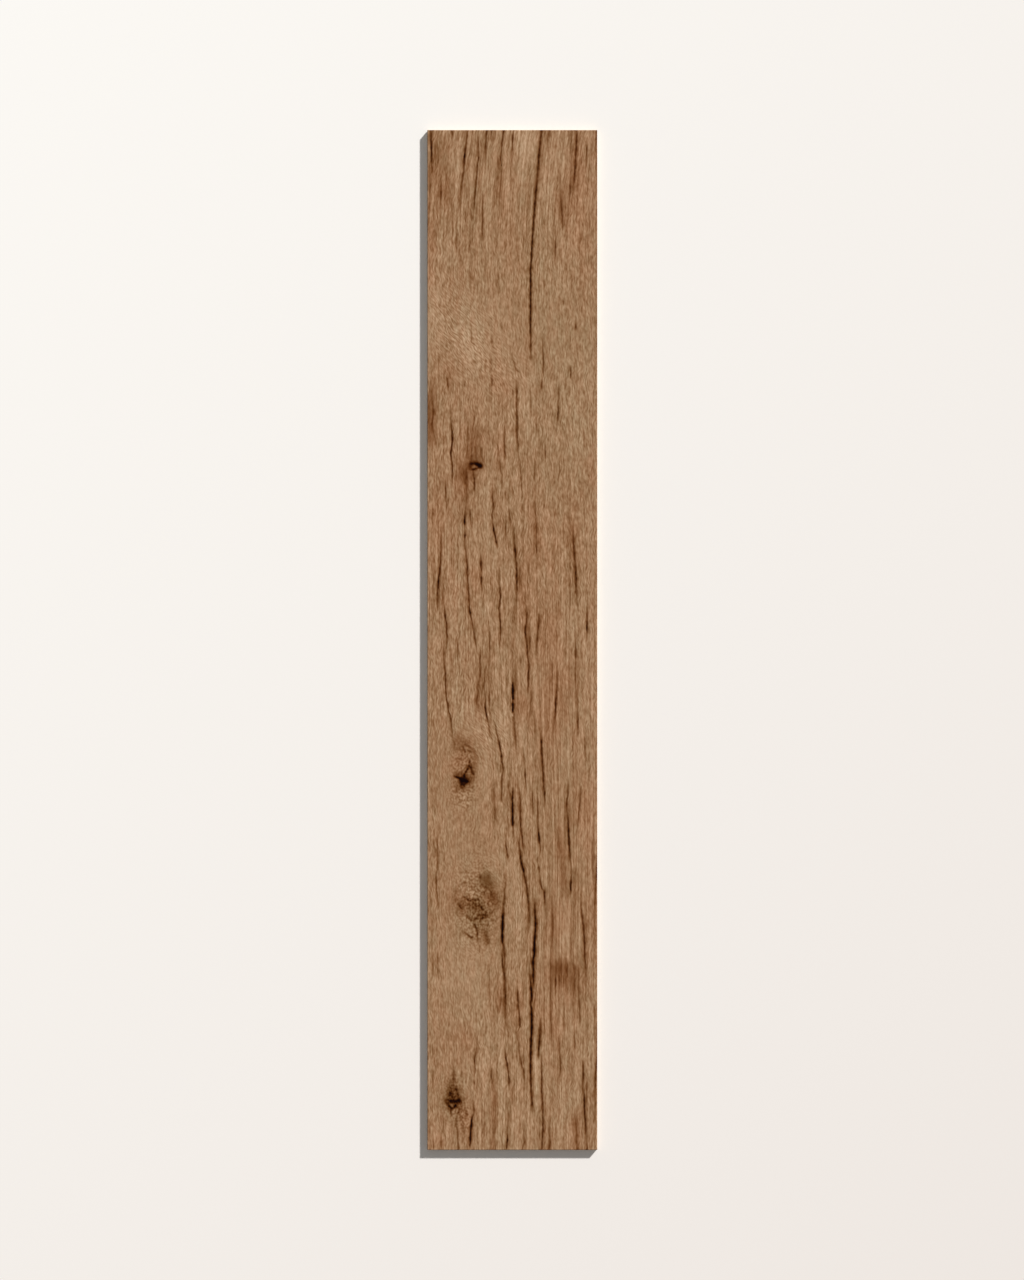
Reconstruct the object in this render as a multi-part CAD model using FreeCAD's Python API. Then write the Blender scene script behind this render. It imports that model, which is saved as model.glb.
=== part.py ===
"""Wood look porcelain plank tile: one pressed and fired plank with its four edges ground square.

Millimetres, +Z up. The origin is the middle of the bedding plane, on which the ribs of the back stand.
The length runs along Y and the width along X, and the printed face looks up.
"""

import FreeCAD, Part
import math
import os

# Plank
LENGTH = 1200.0
WIDTH = 200.0
THICKNESS = 9.0
# Bevel ground round the face, and the wider one that the press leaves round the back
FACE_BEVEL = 0.6
BACK_BEVEL = 1.2
# Keying relief of the back: shallow square pockets between ribs, inside a border no narrower than a rib
POCKET_SIDE = 17.0
POCKET_DEPTH = 0.7
POCKET_DRAFT_DEG = 40.0
RIB_WIDTH = 3.0
# How far the cutting tool of a pocket starts below the bedding plane
TOOL_START = 1.0


def edges_at_height(solid, height):
    """The edges of a solid that lie wholly at one height."""
    return [edge for edge in solid.Edges
            if all(math.isclose(vertex.Z, height, abs_tol=1e-6) for vertex in edge.Vertexes)]


def ground_plank():
    """The plank with square sides, bevelled round its face and round its back."""
    corner = FreeCAD.Vector(-WIDTH / 2, -LENGTH / 2, 0)
    plank = Part.makeBox(WIDTH, LENGTH, THICKNESS, corner)
    plank = plank.makeChamfer(FACE_BEVEL, edges_at_height(plank, THICKNESS))
    return plank.makeChamfer(BACK_BEVEL, edges_at_height(plank, 0))


def square_wire(side, height):
    """A closed square about the Z axis."""
    half = side / 2
    corners = [(-half, -half), (half, -half), (half, half), (-half, half), (-half, -half)]
    return Part.makePolygon([FreeCAD.Vector(x, y, height) for x, y in corners])


def pocket_tool():
    """One pocket of the back, its walls drafted so that the plank leaves the press."""
    lean = math.tan(math.radians(POCKET_DRAFT_DEG))
    mouth = square_wire(POCKET_SIDE + 2 * TOOL_START * lean, -TOOL_START)
    floor = square_wire(POCKET_SIDE - 2 * POCKET_DEPTH * lean, POCKET_DEPTH)
    return Part.makeLoft([mouth, floor], True, True)


def centred_row(extent):
    """Middles of the pockets that fit along one side of the back, spread evenly about the origin."""
    pitch = POCKET_SIDE + RIB_WIDTH
    room = extent - 2 * (BACK_BEVEL + RIB_WIDTH)
    count = math.floor((room + RIB_WIDTH) / pitch)
    return [(index - (count - 1) / 2) * pitch for index in range(count)]


def keyed_back(plank):
    """The plank with the pockets pressed into its back, which leave a grid of ribs and a border."""
    tool = pocket_tool()
    tools = [tool.translated(FreeCAD.Vector(x, y, 0))
             for x in centred_row(WIDTH) for y in centred_row(LENGTH)]
    print(f"{len(tools)} pockets in the back")
    return plank.cut(tools)


plank_tile = keyed_back(ground_plank())
print(f"plank_tile: {len(plank_tile.Solids)} solid, valid {plank_tile.isValid()}, "
      f"{len(plank_tile.Faces)} faces, {plank_tile.Volume / 1000:.1f} cm3")

os.makedirs("parts", exist_ok=True)
plank_tile.Solids[0].exportStep("parts/plank_tile.step")
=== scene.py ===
# %% [markdown]
# # A wood look porcelain plank tile
# The real object is one plank of pressed and fired porcelain, 200 x 1200 x 9 mm. Its face carries a
# printed picture of old oak under a matt glaze, with the drying checks and knots pressed in as a
# shallow relief. Its sides are ground square, and its back has a waffle of ribs for the adhesive. The
# solid comes from the packed frame. This lesson gives it the face, the edges and the back that one
# sees.

# %% Load the packed frame
import math

import bmesh
import bpy
import numpy as np
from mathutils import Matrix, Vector, noise
from mathutils.geometry import delaunay_2d_cdt


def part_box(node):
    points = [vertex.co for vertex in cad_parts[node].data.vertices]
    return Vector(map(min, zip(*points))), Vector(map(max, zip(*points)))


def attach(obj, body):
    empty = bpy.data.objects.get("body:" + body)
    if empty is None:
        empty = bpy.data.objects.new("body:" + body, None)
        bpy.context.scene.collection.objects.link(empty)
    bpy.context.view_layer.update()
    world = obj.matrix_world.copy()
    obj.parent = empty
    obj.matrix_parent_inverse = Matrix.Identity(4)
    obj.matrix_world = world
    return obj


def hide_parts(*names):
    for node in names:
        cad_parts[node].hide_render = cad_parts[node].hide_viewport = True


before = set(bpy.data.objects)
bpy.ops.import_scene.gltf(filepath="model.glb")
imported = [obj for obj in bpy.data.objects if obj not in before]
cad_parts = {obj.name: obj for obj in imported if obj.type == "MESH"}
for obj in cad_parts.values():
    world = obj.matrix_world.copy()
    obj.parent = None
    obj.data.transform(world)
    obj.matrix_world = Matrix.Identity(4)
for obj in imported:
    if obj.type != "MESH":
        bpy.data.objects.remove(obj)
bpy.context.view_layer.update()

NODE = "plank_tile"
MM = 0.001
low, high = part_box(NODE)
WIDTH, LENGTH, TOP = (high - low) / MM
print(f"plank {WIDTH:.1f} x {LENGTH:.1f} x {TOP:.1f} mm")

# %% [markdown]
# ## The drying checks
# Old oak splits along its grain as it dries, and a printed plank copies those checks as dark, tapering
# lines. One could leave them to a noise texture, but then they would fall anywhere. Here each one is
# drawn one by one, as a printer's artist retouches a scan: a stroke has a width, and points with a place
# along the plank (y, from the top end), a place across it (x, from the left side) and a darkness in
# grey levels. All lengths are millimetres. The strokes are written as one sees them from a distance,
# where the eye blurs a fine line into a wider and paler one. So a fine stroke is drawn narrower and
# darker than it is written, and a faint one is darkened the most. A wide stroke is a stain, and is
# drawn as it is.

# %% Read tables and strokes
SHARPER = 0.84
FAINT, BLACK = 60.0, 120.0
FAINT_GAIN, BLACK_GAIN = 1.28, 1.14
WIDEST_CHECK = 3.6


def table(text):
    """Rows of numbers, set apart by commas or new lines."""
    rows = text.replace(",", "\n").splitlines()
    return np.array([[float(n) for n in row.split()] for row in rows if row.strip()])


def strokes(text):
    """Strokes from lines of "width: y x darkness, ...". A line that ends in a comma goes on in the next."""
    drawn = []
    for line in text.strip().replace(",\n", ", ").splitlines():
        width, points = line.split(":")
        width = float(width)
        points = table(points)
        if width < WIDEST_CHECK:
            width = width * SHARPER
            points[:, 2] *= np.interp(points[:, 2], (FAINT, BLACK), (FAINT_GAIN, BLACK_GAIN))
        drawn.append((width, points))
    return drawn


(width, points), = strokes("2: 0 5 40, 10 5 90")
print(f"a stroke written 2 mm wide is drawn {width:.2f} mm wide,",
      f"and 40 to 90 dark becomes {points[0, 2]:.0f} to {points[1, 2]:.0f}")

# %% Checks and streaks of the top end
CHECKS = strokes("""
2.2: 0 4 45, 10 4.3 75, 20 4.8 95, 30 5 85, 40 5.1 70, 50 5.6 20
7: 0 4 14, 10 4 10, 18 4.5 0
3: 44 4 20, 55 3.5 34, 70 3 32, 84 2.5 18, 94 2 0
3: 12 9.5 8, 25 9.5 18, 33 9 18, 45 9 8, 55 9 0
1.8: 18 12.5 15, 30 13 30, 38 12.5 25, 45 12 0
2: 0 29.5 70, 6 29.2 60, 14 29 20, 20 29 0
2.2: 0 47.3 50, 8 46.7 50, 18 45.4 58, 26 44.4 92, 31 43.9 135, 35 43.4 80, 48 42.9 58, 55 41.6 60,
72 39.6 52, 88 38.3 38, 96 38 0
2: 8 59.8 30, 18 60 54, 29 59.8 62, 33 60.3 75, 38 59.3 50, 43 58.5 72, 50 58.5 56, 65 57 56,
72 56.5 62, 80 55.8 55, 90 55.2 42, 98 55 0
2.2: 0 70 70, 8 69.2 50, 18 68.8 62, 26 68.5 48, 36 67.5 14
2: 0 75.5 55, 6 75 45, 14 75 0
2: 0 80.5 20, 8 80 15, 16 79 0
1.8: 10 63 10, 16 63.2 30, 21 63.5 10
1.6: 20 52 20, 28 52 20, 35 51.5 0
2: 0 89.7 70, 8 89 60, 15 87.9 70, 27 87.3 50, 33 86.4 42, 48 87 38, 62 86.4 38, 80 85.4 30, 94 85 0
2: 0 102 30, 6 100.8 60, 10 100.4 85, 16 100.3 55, 22 100.1 60, 28 99.5 35, 36 99 25, 45 98 30,
66 98.5 20, 78 98.5 0
3.1: 0 134.5 72, 10 133.4 70, 18 132.5 80, 32 131.2 92, 42 130.7 82, 50 129.8 70, 58 129.2 60,
66 128.4 60, 71 128 0
2.3: 62 128.8 0, 68 128.2 60, 72 127.9 96, 80 127.3 78, 86 126.8 95, 104 125.3 84, 112 124.8 94,
120 124.3 84, 138 123 98, 148 122.7 86, 165 121.5 94, 185 121.7 102, 195 121.3 86, 205 121.5 98,
235 121.3 86, 245 121.7 64, 255 121.5 68, 268 122 34, 274 122 0
2.8: 0 143.5 64, 6 142.5 52, 14 141.6 36, 28 141 0
2.2: 0 170.3 35, 4 169.5 25, 24 168.8 35, 34 169.2 15, 50 169 15, 60 168.8 25, 68 168.3 55, 74 168.2 45,
80 167.5 0
2.4: 0 176 52, 10 175.8 68, 24 175 80, 32 174.5 64, 45 173.8 80, 52 173.3 64, 58 172.9 62, 64 172.2 46,
72 171.3 24, 92 170 0
1.8: 16 187.7 20, 22 187.6 62, 27 187.4 48, 40 187 34, 46 187 0
1.8: 33 181.3 14, 38 181.4 42, 43 181 0
2.4: 84 199.6 8, 110 199.6 18, 150 199.7 22, 250 199.7 18, 292 199.8 0
2.4: 0 199.5 60, 10 199 45, 20 198.5 40, 30 199 30, 45 199.5 30, 80 199.8 10, 100 200 0
2.2: 52 156 10, 60 155.5 21, 76 157 17, 83 156.8 46, 95 158.2 48, 102 158.7 60, 108 158.8 44,
114 159 44, 119 159 0
7: 52 155 8, 75 156 16, 92 158 17, 108 160 12, 122 161 0
1.7: 112 151 10, 125 151 30, 130 150.8 50, 138 150.6 65, 145 150.4 50, 156 150.2 0
1.9: 38 15.5 10, 44 15.6 25, 52 16 12, 62 16 28, 68 16.2 50, 75 16.2 60, 80 16.1 55, 85 15.8 32,
96 15 0
1.8: 72 65 20, 80 65 32, 102 65.2 46, 110 65.1 58, 116 64.8 46, 122 65 54, 127 65.5 38, 133 66 0
1.7: 90 45 0, 98 44.2 30, 104 44.5 22, 110 45.6 30, 116 46 20, 124 45 0
1.7: 70 46.5 15, 78 46.2 30, 84 46 0
1.7: 94 51.5 15, 100 52 30, 112 53 0
1.6: 90 58.5 10, 95 58.5 28, 100 58.5 0
1.8: 118 35 14, 126 34.7 46, 133 34.2 32, 139 34.5 40, 146 34.5 0
1.8: 44 104.5 10, 53 104.3 30, 58 104.5 0
1.6: 55 100.6 10, 59 100.6 45, 63 100.6 0
2: 30 83.5 10, 38 83 30, 44 83.5 15, 50 84 0
1.8: 26 85.5 10, 31 85.8 25, 36 86.5 25, 42 87 10
1.4: 40 146 10, 44 146 30, 48 146 0
1.8: 118 9 10, 124 8.7 25, 136 8 0
1.8: 104 15.5 10, 108 15.3 28, 112 15.5 0
1.6: 91 6.8 10, 95 6.8 25, 99 6.8 0
2: 80 29 18, 95 29.3 26, 110 29.3 26, 122 29.5 0
1.8: 122 50 10, 132 49.7 30, 146 50.2 10
1.8: 148 68.2 10, 155 68.8 35, 163 68.9 30, 170 68 10
1.6: 120 81 10, 127 81.2 25, 133 81 0
1.8: 128 113 10, 135 113.3 28, 148 113 0
1.5: 140 117.5 10, 145 118.3 25, 150 119 0
4: 5 19 8, 25 19 14, 40 19 12, 55 19 0
1.8: 6 78 10, 13 77.6 30, 18 77.5 0
""")
print(f"{len(CHECKS)} strokes at the top end")

# %% Checks and streaks from 150 to 300 mm
CHECKS += strokes("""
2: 168 83 10, 173 83.7 34, 178 83 25, 182 83.8 38, 188 84.5 20, 194 84.6 0
1.8: 176 81.5 20, 184 81 30, 188 82 0
1.6: 160 50.5 10, 172 50.6 20, 182 50.4 30, 188 50.2 10
1.8: 203 50.5 10, 211 50.5 28, 216 49.5 10
1.5: 226 51.6 10, 232 51.8 32, 242 52.3 25, 248 52 35, 252 52 0
2.2: 246 76 26, 249 76 58, 252 76 20
2.2: 268 75 10, 273 75 35, 278 76.5 15, 282 74.7 32, 287 75 10
2.2: 288 76 10, 292 76 42, 296 76 58, 300 76 54, 303 76 10
1.8: 300 73 15, 305 73 30, 310 74.5 20, 314 76 0
1.8: 284 26.5 10, 290 26.2 40, 294 27.5 15
2: 288 22.3 10, 294 23.2 45, 298 24 50, 301 24.4 65, 305 24.6 30, 309 24.8 0
2.2: 297 44 15, 300 44 45, 303 44 10
2: 266 99.5 10, 271 101 30, 281 104 45, 284 106 40, 286 109 15
1.8: 240 136.5 12, 250 136.3 24, 258 135.8 42, 273 136.4 60, 286 136.3 48, 292 137 0
1.9: 292 134.8 10, 297 134.6 42, 301 134.5 55, 305 134.4 42, 309 134.5 0
1.9: 226 174.3 20, 231 174.7 72, 235 174.8 40, 238 174.6 0
2: 278 168.5 22, 283 168.7 66, 286 168.9 38, 289 168.6 66, 293 168.4 0
1.7: 199 160.2 12, 203 160.3 54, 207 160.3 0
1.6: 200 103 10, 204 103 28, 208 104 0
1.5: 200 107.3 10, 204 107.4 28, 209 107 0
2: 188 77.5 10, 194 77.8 32, 199 78 0
1.6: 196 63.5 0, 203 63.6 28, 208 63.3 0
2: 262 13 10, 268 13.3 25, 280 13 0
1.6: 250 176 10, 256 176.6 25, 262 177.5 0
1.6: 240 168.5 10, 247 168.3 25, 262 168 0
1.8: 228 87 15, 233 87.7 35, 237 88 0
1.5: 227 91 10, 230 91.2 28, 234 91 0
1.5: 220 81 10, 224 80.6 28, 228 80.5 0
1.5: 178 137.5 10, 184 137.4 28, 189 137 0
1.6: 186 131.4 15, 190 131.3 28, 194 131 0
1.5: 196 154.5 10, 214 154.7 22, 220 154.5 0
1.5: 212 137.7 10, 216 137.6 28, 220 137.5 0
1.6: 294 162.5 10, 301 163 32, 308 163.5 0
1.9: 296 155.5 10, 303 154.7 25, 310 154.6 40, 324 154 40, 330 153.9 75, 334 153.8 80, 340 153.6 55,
350 152.5 0
""")
print(f"{len(CHECKS)} strokes down to 300 mm")

# %% Checks and streaks from 300 to 450 mm
CHECKS += strokes("""
2.4: 300 5 12, 312 5.5 20, 328 6.8 40, 332 7.3 52, 336 7 32, 346 5 40, 352 6 24, 368 10 18, 376 10.5 0
9: 285 3 2, 300 3.5 8, 320 4 20, 345 5 22, 362 7 14, 380 8 0
3: 310 1.5 8, 330 1.5 26, 345 2 24, 360 3 12, 375 4 0
1.9: 326 27.3 12, 331 27 36, 335 27.2 30, 347 28 58, 358 29.3 92, 364 29.5 92, 370 29.2 80, 375 28.3 86,
381 27.6 98, 387 28 70, 391 28.9 60, 396 29.4 70, 402 29.4 70, 408 29.2 54, 413 29.2 24, 418 29.5 0
1.9: 325 53.5 20, 329 54 30, 333 56 26, 337 55.8 34, 342 55.3 34, 347 54 24, 360 52.8 20, 376 52 38,
390 52 24
2.4: 346 47.8 10, 354 47.8 34, 360 47.2 36, 375 47.1 40, 388 46.5 18
13: 340 55 4, 352 57 18, 365 57 22, 378 57 27, 388 56 26, 394 55 12
2.2: 362 57.5 8, 372 57 20, 380 57.3 34, 390 57.5 16
2: 370 63 8, 378 63.5 36, 383 63.6 34, 388 65.5 30, 392 66 0
3.4: 399 53.5 36, 404 54 36, 408 54.4 52, 411 55 40
2: 410 55.4 50, 414 55.4 75, 419 55.5 65, 423 55.1 55, 427 55 0
11: 390 41 8, 398 42 26, 405 42.5 31, 410 43 25, 418 45 14, 440 46 8, 460 46 4, 470 46 0
2.2: 400 46 15, 404 46.5 34, 408 46.6 26, 412 46 15
2.2: 410 43.6 10, 415 43.8 36, 419 44 15
3.2: 406 45.8 18, 416 46 32, 424 46 34, 436 46 28, 446 46.2 28, 456 46 10
2: 448 44.3 15, 453 44.1 60, 457 44 80, 460 43.9 128, 463 43.9 90, 467 44.2 20, 472 44.3 25,
477 44.3 92, 481 44 55, 487 44 30, 491 44.4 45, 502 45.9 50, 512 47.1 75, 517 47 85, 521 46.9 60,
535 47.8 55, 546 48.9 75, 556 49.1 50, 562 49.4 75, 567 50.2 115, 571 50.8 75, 577 52.1 50, 589 54.8 50,
594 55.2 60, 599 55.6 42, 604 56.8 38, 610 57 0
2.2: 445 50.6 20, 449 50.4 62, 454 50.4 66, 459 51 52, 466 52 34, 471 52.8 0
1.8: 352 91.2 26, 364 90.5 46, 376 91.2 58, 381 91.3 58, 392 92 0
2: 370 82.5 10, 375 83 28, 380 85 15, 386 84.8 30, 391 85.6 45, 401 85.9 45, 405 88 25, 409 87.3 25,
414 87.5 48, 424 88 0
2.2: 296 104.5 18, 303 105 48, 308 105.2 72, 313 105.3 54, 327 105.2 58, 337 105.3 78, 343 105.8 84,
352 105.3 66, 357 105.4 72, 362 105.8 54, 373 107 54, 378 106.5 30, 391 107.5 0
1.8: 305 100.6 15, 310 100.6 45, 313 100.5 0
1.7: 368 138.3 13, 374 138.5 36, 380 138.8 58, 388 138.7 0
1.9: 386 126.8 10, 392 126.5 35, 404 126.2 42, 410 126.1 40, 416 127 10, 431 127.5 8, 447 126.2 18,
456 127.5 12, 469 128.2 38, 483 128 18, 490 128 38, 508 129.4 0
1.7: 388 154.5 10, 398 155.6 42, 402 155.5 28, 406 154.5 15, 411 154 28, 416 154 0
1.8: 412 21 20, 419 21.3 58, 424 21.5 62, 429 21.4 46, 433 21.6 54, 438 21.3 12
1.7: 358 77.5 10, 366 77.8 34, 374 77.6 10
1.7: 338 128.6 10, 347 128.8 32, 355 128.6 10
1.6: 436 23 20, 442 23.3 35, 446 23 10
1.9: 421 76.3 18, 427 76.7 42, 432 76.6 66, 437 76.9 58, 442 77.8 62, 447 77.2 48, 452 76 60,
462 76.8 42, 466 77.4 72, 469 77.9 110, 473 78.7 92, 477 79.7 98, 481 80.6 78, 485 81.2 96, 488 82 35,
496 84 0
1.9: 426 92 20, 430 92 45, 438 92 0
1.9: 444 96.2 13, 449 96.6 40, 459 97.3 52, 470 98 0
1.7: 388 109.2 14, 396 109.4 35, 418 111 40, 425 111.3 20, 432 111.8 40, 437 110.8 20
1.7: 438 111.7 20, 443 112 53, 452 112.5 0
1.8: 308 122 15, 315 121.8 28, 329 122 28, 336 122 10
5: 412 126 0, 435 127 11, 470 129 13, 500 130 8, 522 131 0
5: 380 192 0, 395 193 10, 405 193 10, 415 194 0
1.8: 352 195 10, 360 195.5 22, 368 195.3 0
1.5: 355 184 10, 362 184.5 28, 367 185 10
1.9: 350 152 20, 354 151.8 38, 362 152 0
1.6: 396 100.5 20, 407 100.3 22, 411 100 0
1.6: 412 68 10, 416 68.2 28, 420 68 0
1.5: 410 63 10, 414 63.3 28, 418 63.5 0
2: 420 101.5 10, 426 101.3 28, 431 101 0
1.5: 426 188 10, 430 188 28, 434 188 0
1.6: 446 6.5 20, 451 6.4 35, 456 6.3 0
1.5: 436 137.5 10, 441 137.5 28, 446 137.5 0
""")
print(f"{len(CHECKS)} strokes down to 450 mm")

# %% Checks and streaks from 450 to 600 mm
CHECKS += strokes("""
2.4: 473 16.3 15, 480 16.1 35, 494 16.2 35, 506 15.8 55, 517 14.8 75, 522 14.2 80, 527 13.4 90,
532 13 105, 537 12.8 88, 542 12.1 75, 553 11.9 60, 564 12 20, 570 11.8 0
2.2: 500 6 10, 515 6.5 18, 528 7.2 26, 541 6.6 26, 548 6.5 14, 585 6.4 12, 595 6.3 0
2.2: 520 19.5 10, 532 19 22, 543 18.6 38, 550 18.4 38, 566 18 10
2.1: 560 20.8 10, 566 20.6 52, 571 20.9 90, 576 21.4 72, 580 22.6 70, 592 22.9 64, 598 23.2 45,
609 22.6 40, 614 22.5 10
2.1: 492 62 15, 498 62.2 25, 503 63 50, 508 63.2 96, 512 63.3 90, 516 63.6 72, 520 63.7 36, 523 63.4 22,
527 63.3 92, 531 63.6 92, 535 64 48, 545 65 10
1.9: 455 92.5 15, 462 92.2 30, 467 92 50, 477 92.4 40, 488 92.6 10
2.4: 464 101.4 10, 472 101.6 50, 483 102 48, 488 102.5 65, 493 103.3 90, 497 103.6 105, 501 103.7 80,
505 103.9 55, 510 104.4 65, 520 105.3 84, 531 105.3 84, 537 105.2 68, 543 105.2 50, 553 105 35,
565 104 10, 572 103.5 0
6: 548 104 0, 560 103 12, 578 102 14, 596 101.5 4
1.9: 436 126.2 5, 446 126.8 14, 458 127.6 13, 470 128.2 10, 482 128 12, 493 128.4 16, 506 129.6 0
2: 511 108.8 10, 518 108.9 40, 528 108.5 48, 533 108.7 35, 544 108.6 0
2.1: 514 84 10, 521 84 30, 534 84.5 42, 539 85.4 60, 549 86.2 82, 557 85 62, 562 84.2 72, 573 85.2 64,
584 86.2 80, 594 86 56, 612 85 0
2.7: 464 171 8, 472 171.3 28, 480 171.6 50, 492 172.6 68, 503 173.3 68, 508 173.7 55, 519 174.4 74,
523 174.8 92, 528 175 78, 544 175 60, 549 176.2 38, 554 175.3 32, 566 178 0
9: 455 168 8, 480 168 12, 500 170 8, 530 172 2, 560 174 0
2.1: 542 116.3 10, 550 115.2 32, 556 115 28, 562 116.5 40, 571 117 62, 575 117 75, 579 117 60,
583 115.8 70, 591 115 95, 595 115.6 75, 600 116.4 44, 607 117.2 60, 612 117.5 72, 618 117.6 52,
622 118.4 45, 627 119.4 55, 632 119.5 68, 637 119.2 88, 641 118.8 84, 651 118.8 60, 655 118.5 68,
663 118 10
7: 583 118.5 6, 592 119.5 24, 602 119.5 26, 612 119 16, 635 119 4
1.8: 594 121 25, 601 120.8 45, 612 120 10
2.7: 568 131.5 16, 573 131.7 54, 583 130.8 68, 593 129.8 48, 599 129.2 50, 612 128.2 36, 618 127.7 16
1.8: 560 188 15, 567 188 44, 572 187.8 68, 576 187.8 52, 585 187.8 108, 589 187.7 92, 593 187.7 30,
604 187.5 0
2: 575 172 15, 590 174.2 15, 605 174.5 40, 611 174.7 60, 616 174.8 75, 620 174.7 65, 624 174.7 25,
629 174.8 35, 640 174.5 25, 646 174.6 48, 652 174.8 14, 658 175.4 20, 672 177 30, 680 177 25,
693 177 55, 698 177.1 72, 702 177.2 60, 707 177.3 35, 714 177.2 15
1.9: 570 71 10, 590 72.6 34, 598 73.2 56, 610 73.4 52, 620 73 30, 630 72 26, 644 72.2 28, 656 72.8 20,
664 73 46, 674 73.2 48, 680 73.3 34, 687 74 34, 700 75.6 15
1.8: 600 77 10, 606 77.8 34, 612 78 28, 618 78.4 10
1.6: 520 134.5 10, 526 136.5 28, 530 136.8 10
1.6: 514 119 10, 520 119.2 30, 526 119.5 10
2.2: 530 168 10, 548 168 28, 566 168 0
1.8: 597 34.5 14, 606 35.6 48, 612 36 50, 622 36.2 24, 634 36 0
1.6: 590 65 10, 595 65.5 28, 600 66 10
""")
print(f"{len(CHECKS)} strokes down to 600 mm")

# %% Checks and streaks from 600 to 750 mm
CHECKS += strokes("""
2: 606 18.8 10, 613 19.3 45, 627 19.6 50, 633 20.4 55, 638 21.1 75, 648 21.4 75, 660 21.6 60,
670 22.6 65, 675 24 75, 679 24.4 70, 684 24.9 55, 689 27 60, 694 27.7 70, 703 28.6 45, 709 29.2 40,
715 29.5 10
2: 610 63 15, 616 62.2 34, 621 62 50, 633 62 42, 642 62 44, 648 61.6 20, 652 61.4 0
2.6: 648 59.4 10, 653 59.4 42, 658 59.6 18, 663 60 36, 668 58 38, 672 57.6 42, 678 59 26, 686 59.4 10
6: 626 59 4, 640 59 12, 655 59 16, 672 58.5 18, 686 58.5 8, 694 58.5 0
2.2: 598 56 8, 603 57 20, 610 57 0
2: 630 68 10, 644 68 30, 650 66.8 42, 656 66.7 42, 661 67.8 30, 672 68.6 45, 677 68.2 66, 681 68.3 98,
686 69.2 94, 690 69.8 108, 693 70.5 66, 697 71.8 45, 706 73 48, 714 75.2 38, 718 76.5 10
2: 694 79 15, 700 80 32, 709 81.5 55, 714 82.8 45, 718 83.9 70, 722 84.5 90, 726 85.6 105, 730 86 75,
733 86.9 70, 737 87.3 100, 740 87.4 60, 743 87.4 90, 746 88.3 65, 750 89 65, 754 89.3 40, 758 88 42,
764 87.5 60, 776 87.6 52, 787 87.3 42, 791 87.3 10
1.5: 745 86.3 25, 750 86 32, 755 87 20
2.5: 600 99.5 15, 630 100 18, 643 100.2 25, 649 100.5 55, 653 100.6 110, 658 100.6 138, 664 100.8 142,
669 100.8 132, 672 100.5 45, 675 100.6 115, 680 100.7 138, 684 100.7 104, 688 101 45, 698 102 48,
705 102.6 50, 718 103.8 48, 724 104 22, 740 105 0
1.8: 628 103.8 10, 640 104 32, 650 104.2 42, 662 105 10
1.8: 660 97.5 10, 670 97.8 35, 682 97.5 10
4: 668 112 8, 676 112.5 22, 682 111.5 20, 688 110 5
2.7: 628 153.2 12, 641 153 42, 653 152.6 52, 664 151.9 62, 671 151.4 78, 679 151 80, 684 150.6 66,
690 150 50, 698 149.2 42, 706 148.8 24, 720 148 0
2.2: 618 147.4 10, 632 147 38, 648 147 36, 660 147.2 26, 672 147 0
2.5: 711 133.6 12, 716 134 50, 719 134.3 92, 725 134.5 72, 737 135 75, 748 135.9 70, 760 136.8 78,
766 136.7 78, 777 137.3 72, 782 137.8 84, 786 137.8 56, 796 137.8 20, 802 137.8 0
1.7: 658 122 14, 668 122.2 44, 676 121.6 36, 688 120.5 30, 704 118.8 20, 712 119 0
2: 684 126.8 10, 696 126.6 40, 707 127.2 34, 716 128.4 10
1.7: 694 131 10, 700 131.3 28, 712 133 20
1.7: 710 184.8 12, 716 184.9 42, 721 185 20, 726 185 56, 731 184.9 26, 735 184.9 40, 740 184.8 0
1.7: 616 108.8 12, 624 109.2 46, 632 109.2 10
1.9: 726 112.8 10, 738 113.3 52, 748 114.2 30, 752 115 38, 757 115 80, 760 115.1 85, 764 115.5 50,
776 116.6 32, 782 117 0
2: 716 31 15, 724 31.5 25, 736 32 0
""")
print(f"{len(CHECKS)} strokes down to 750 mm")

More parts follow.
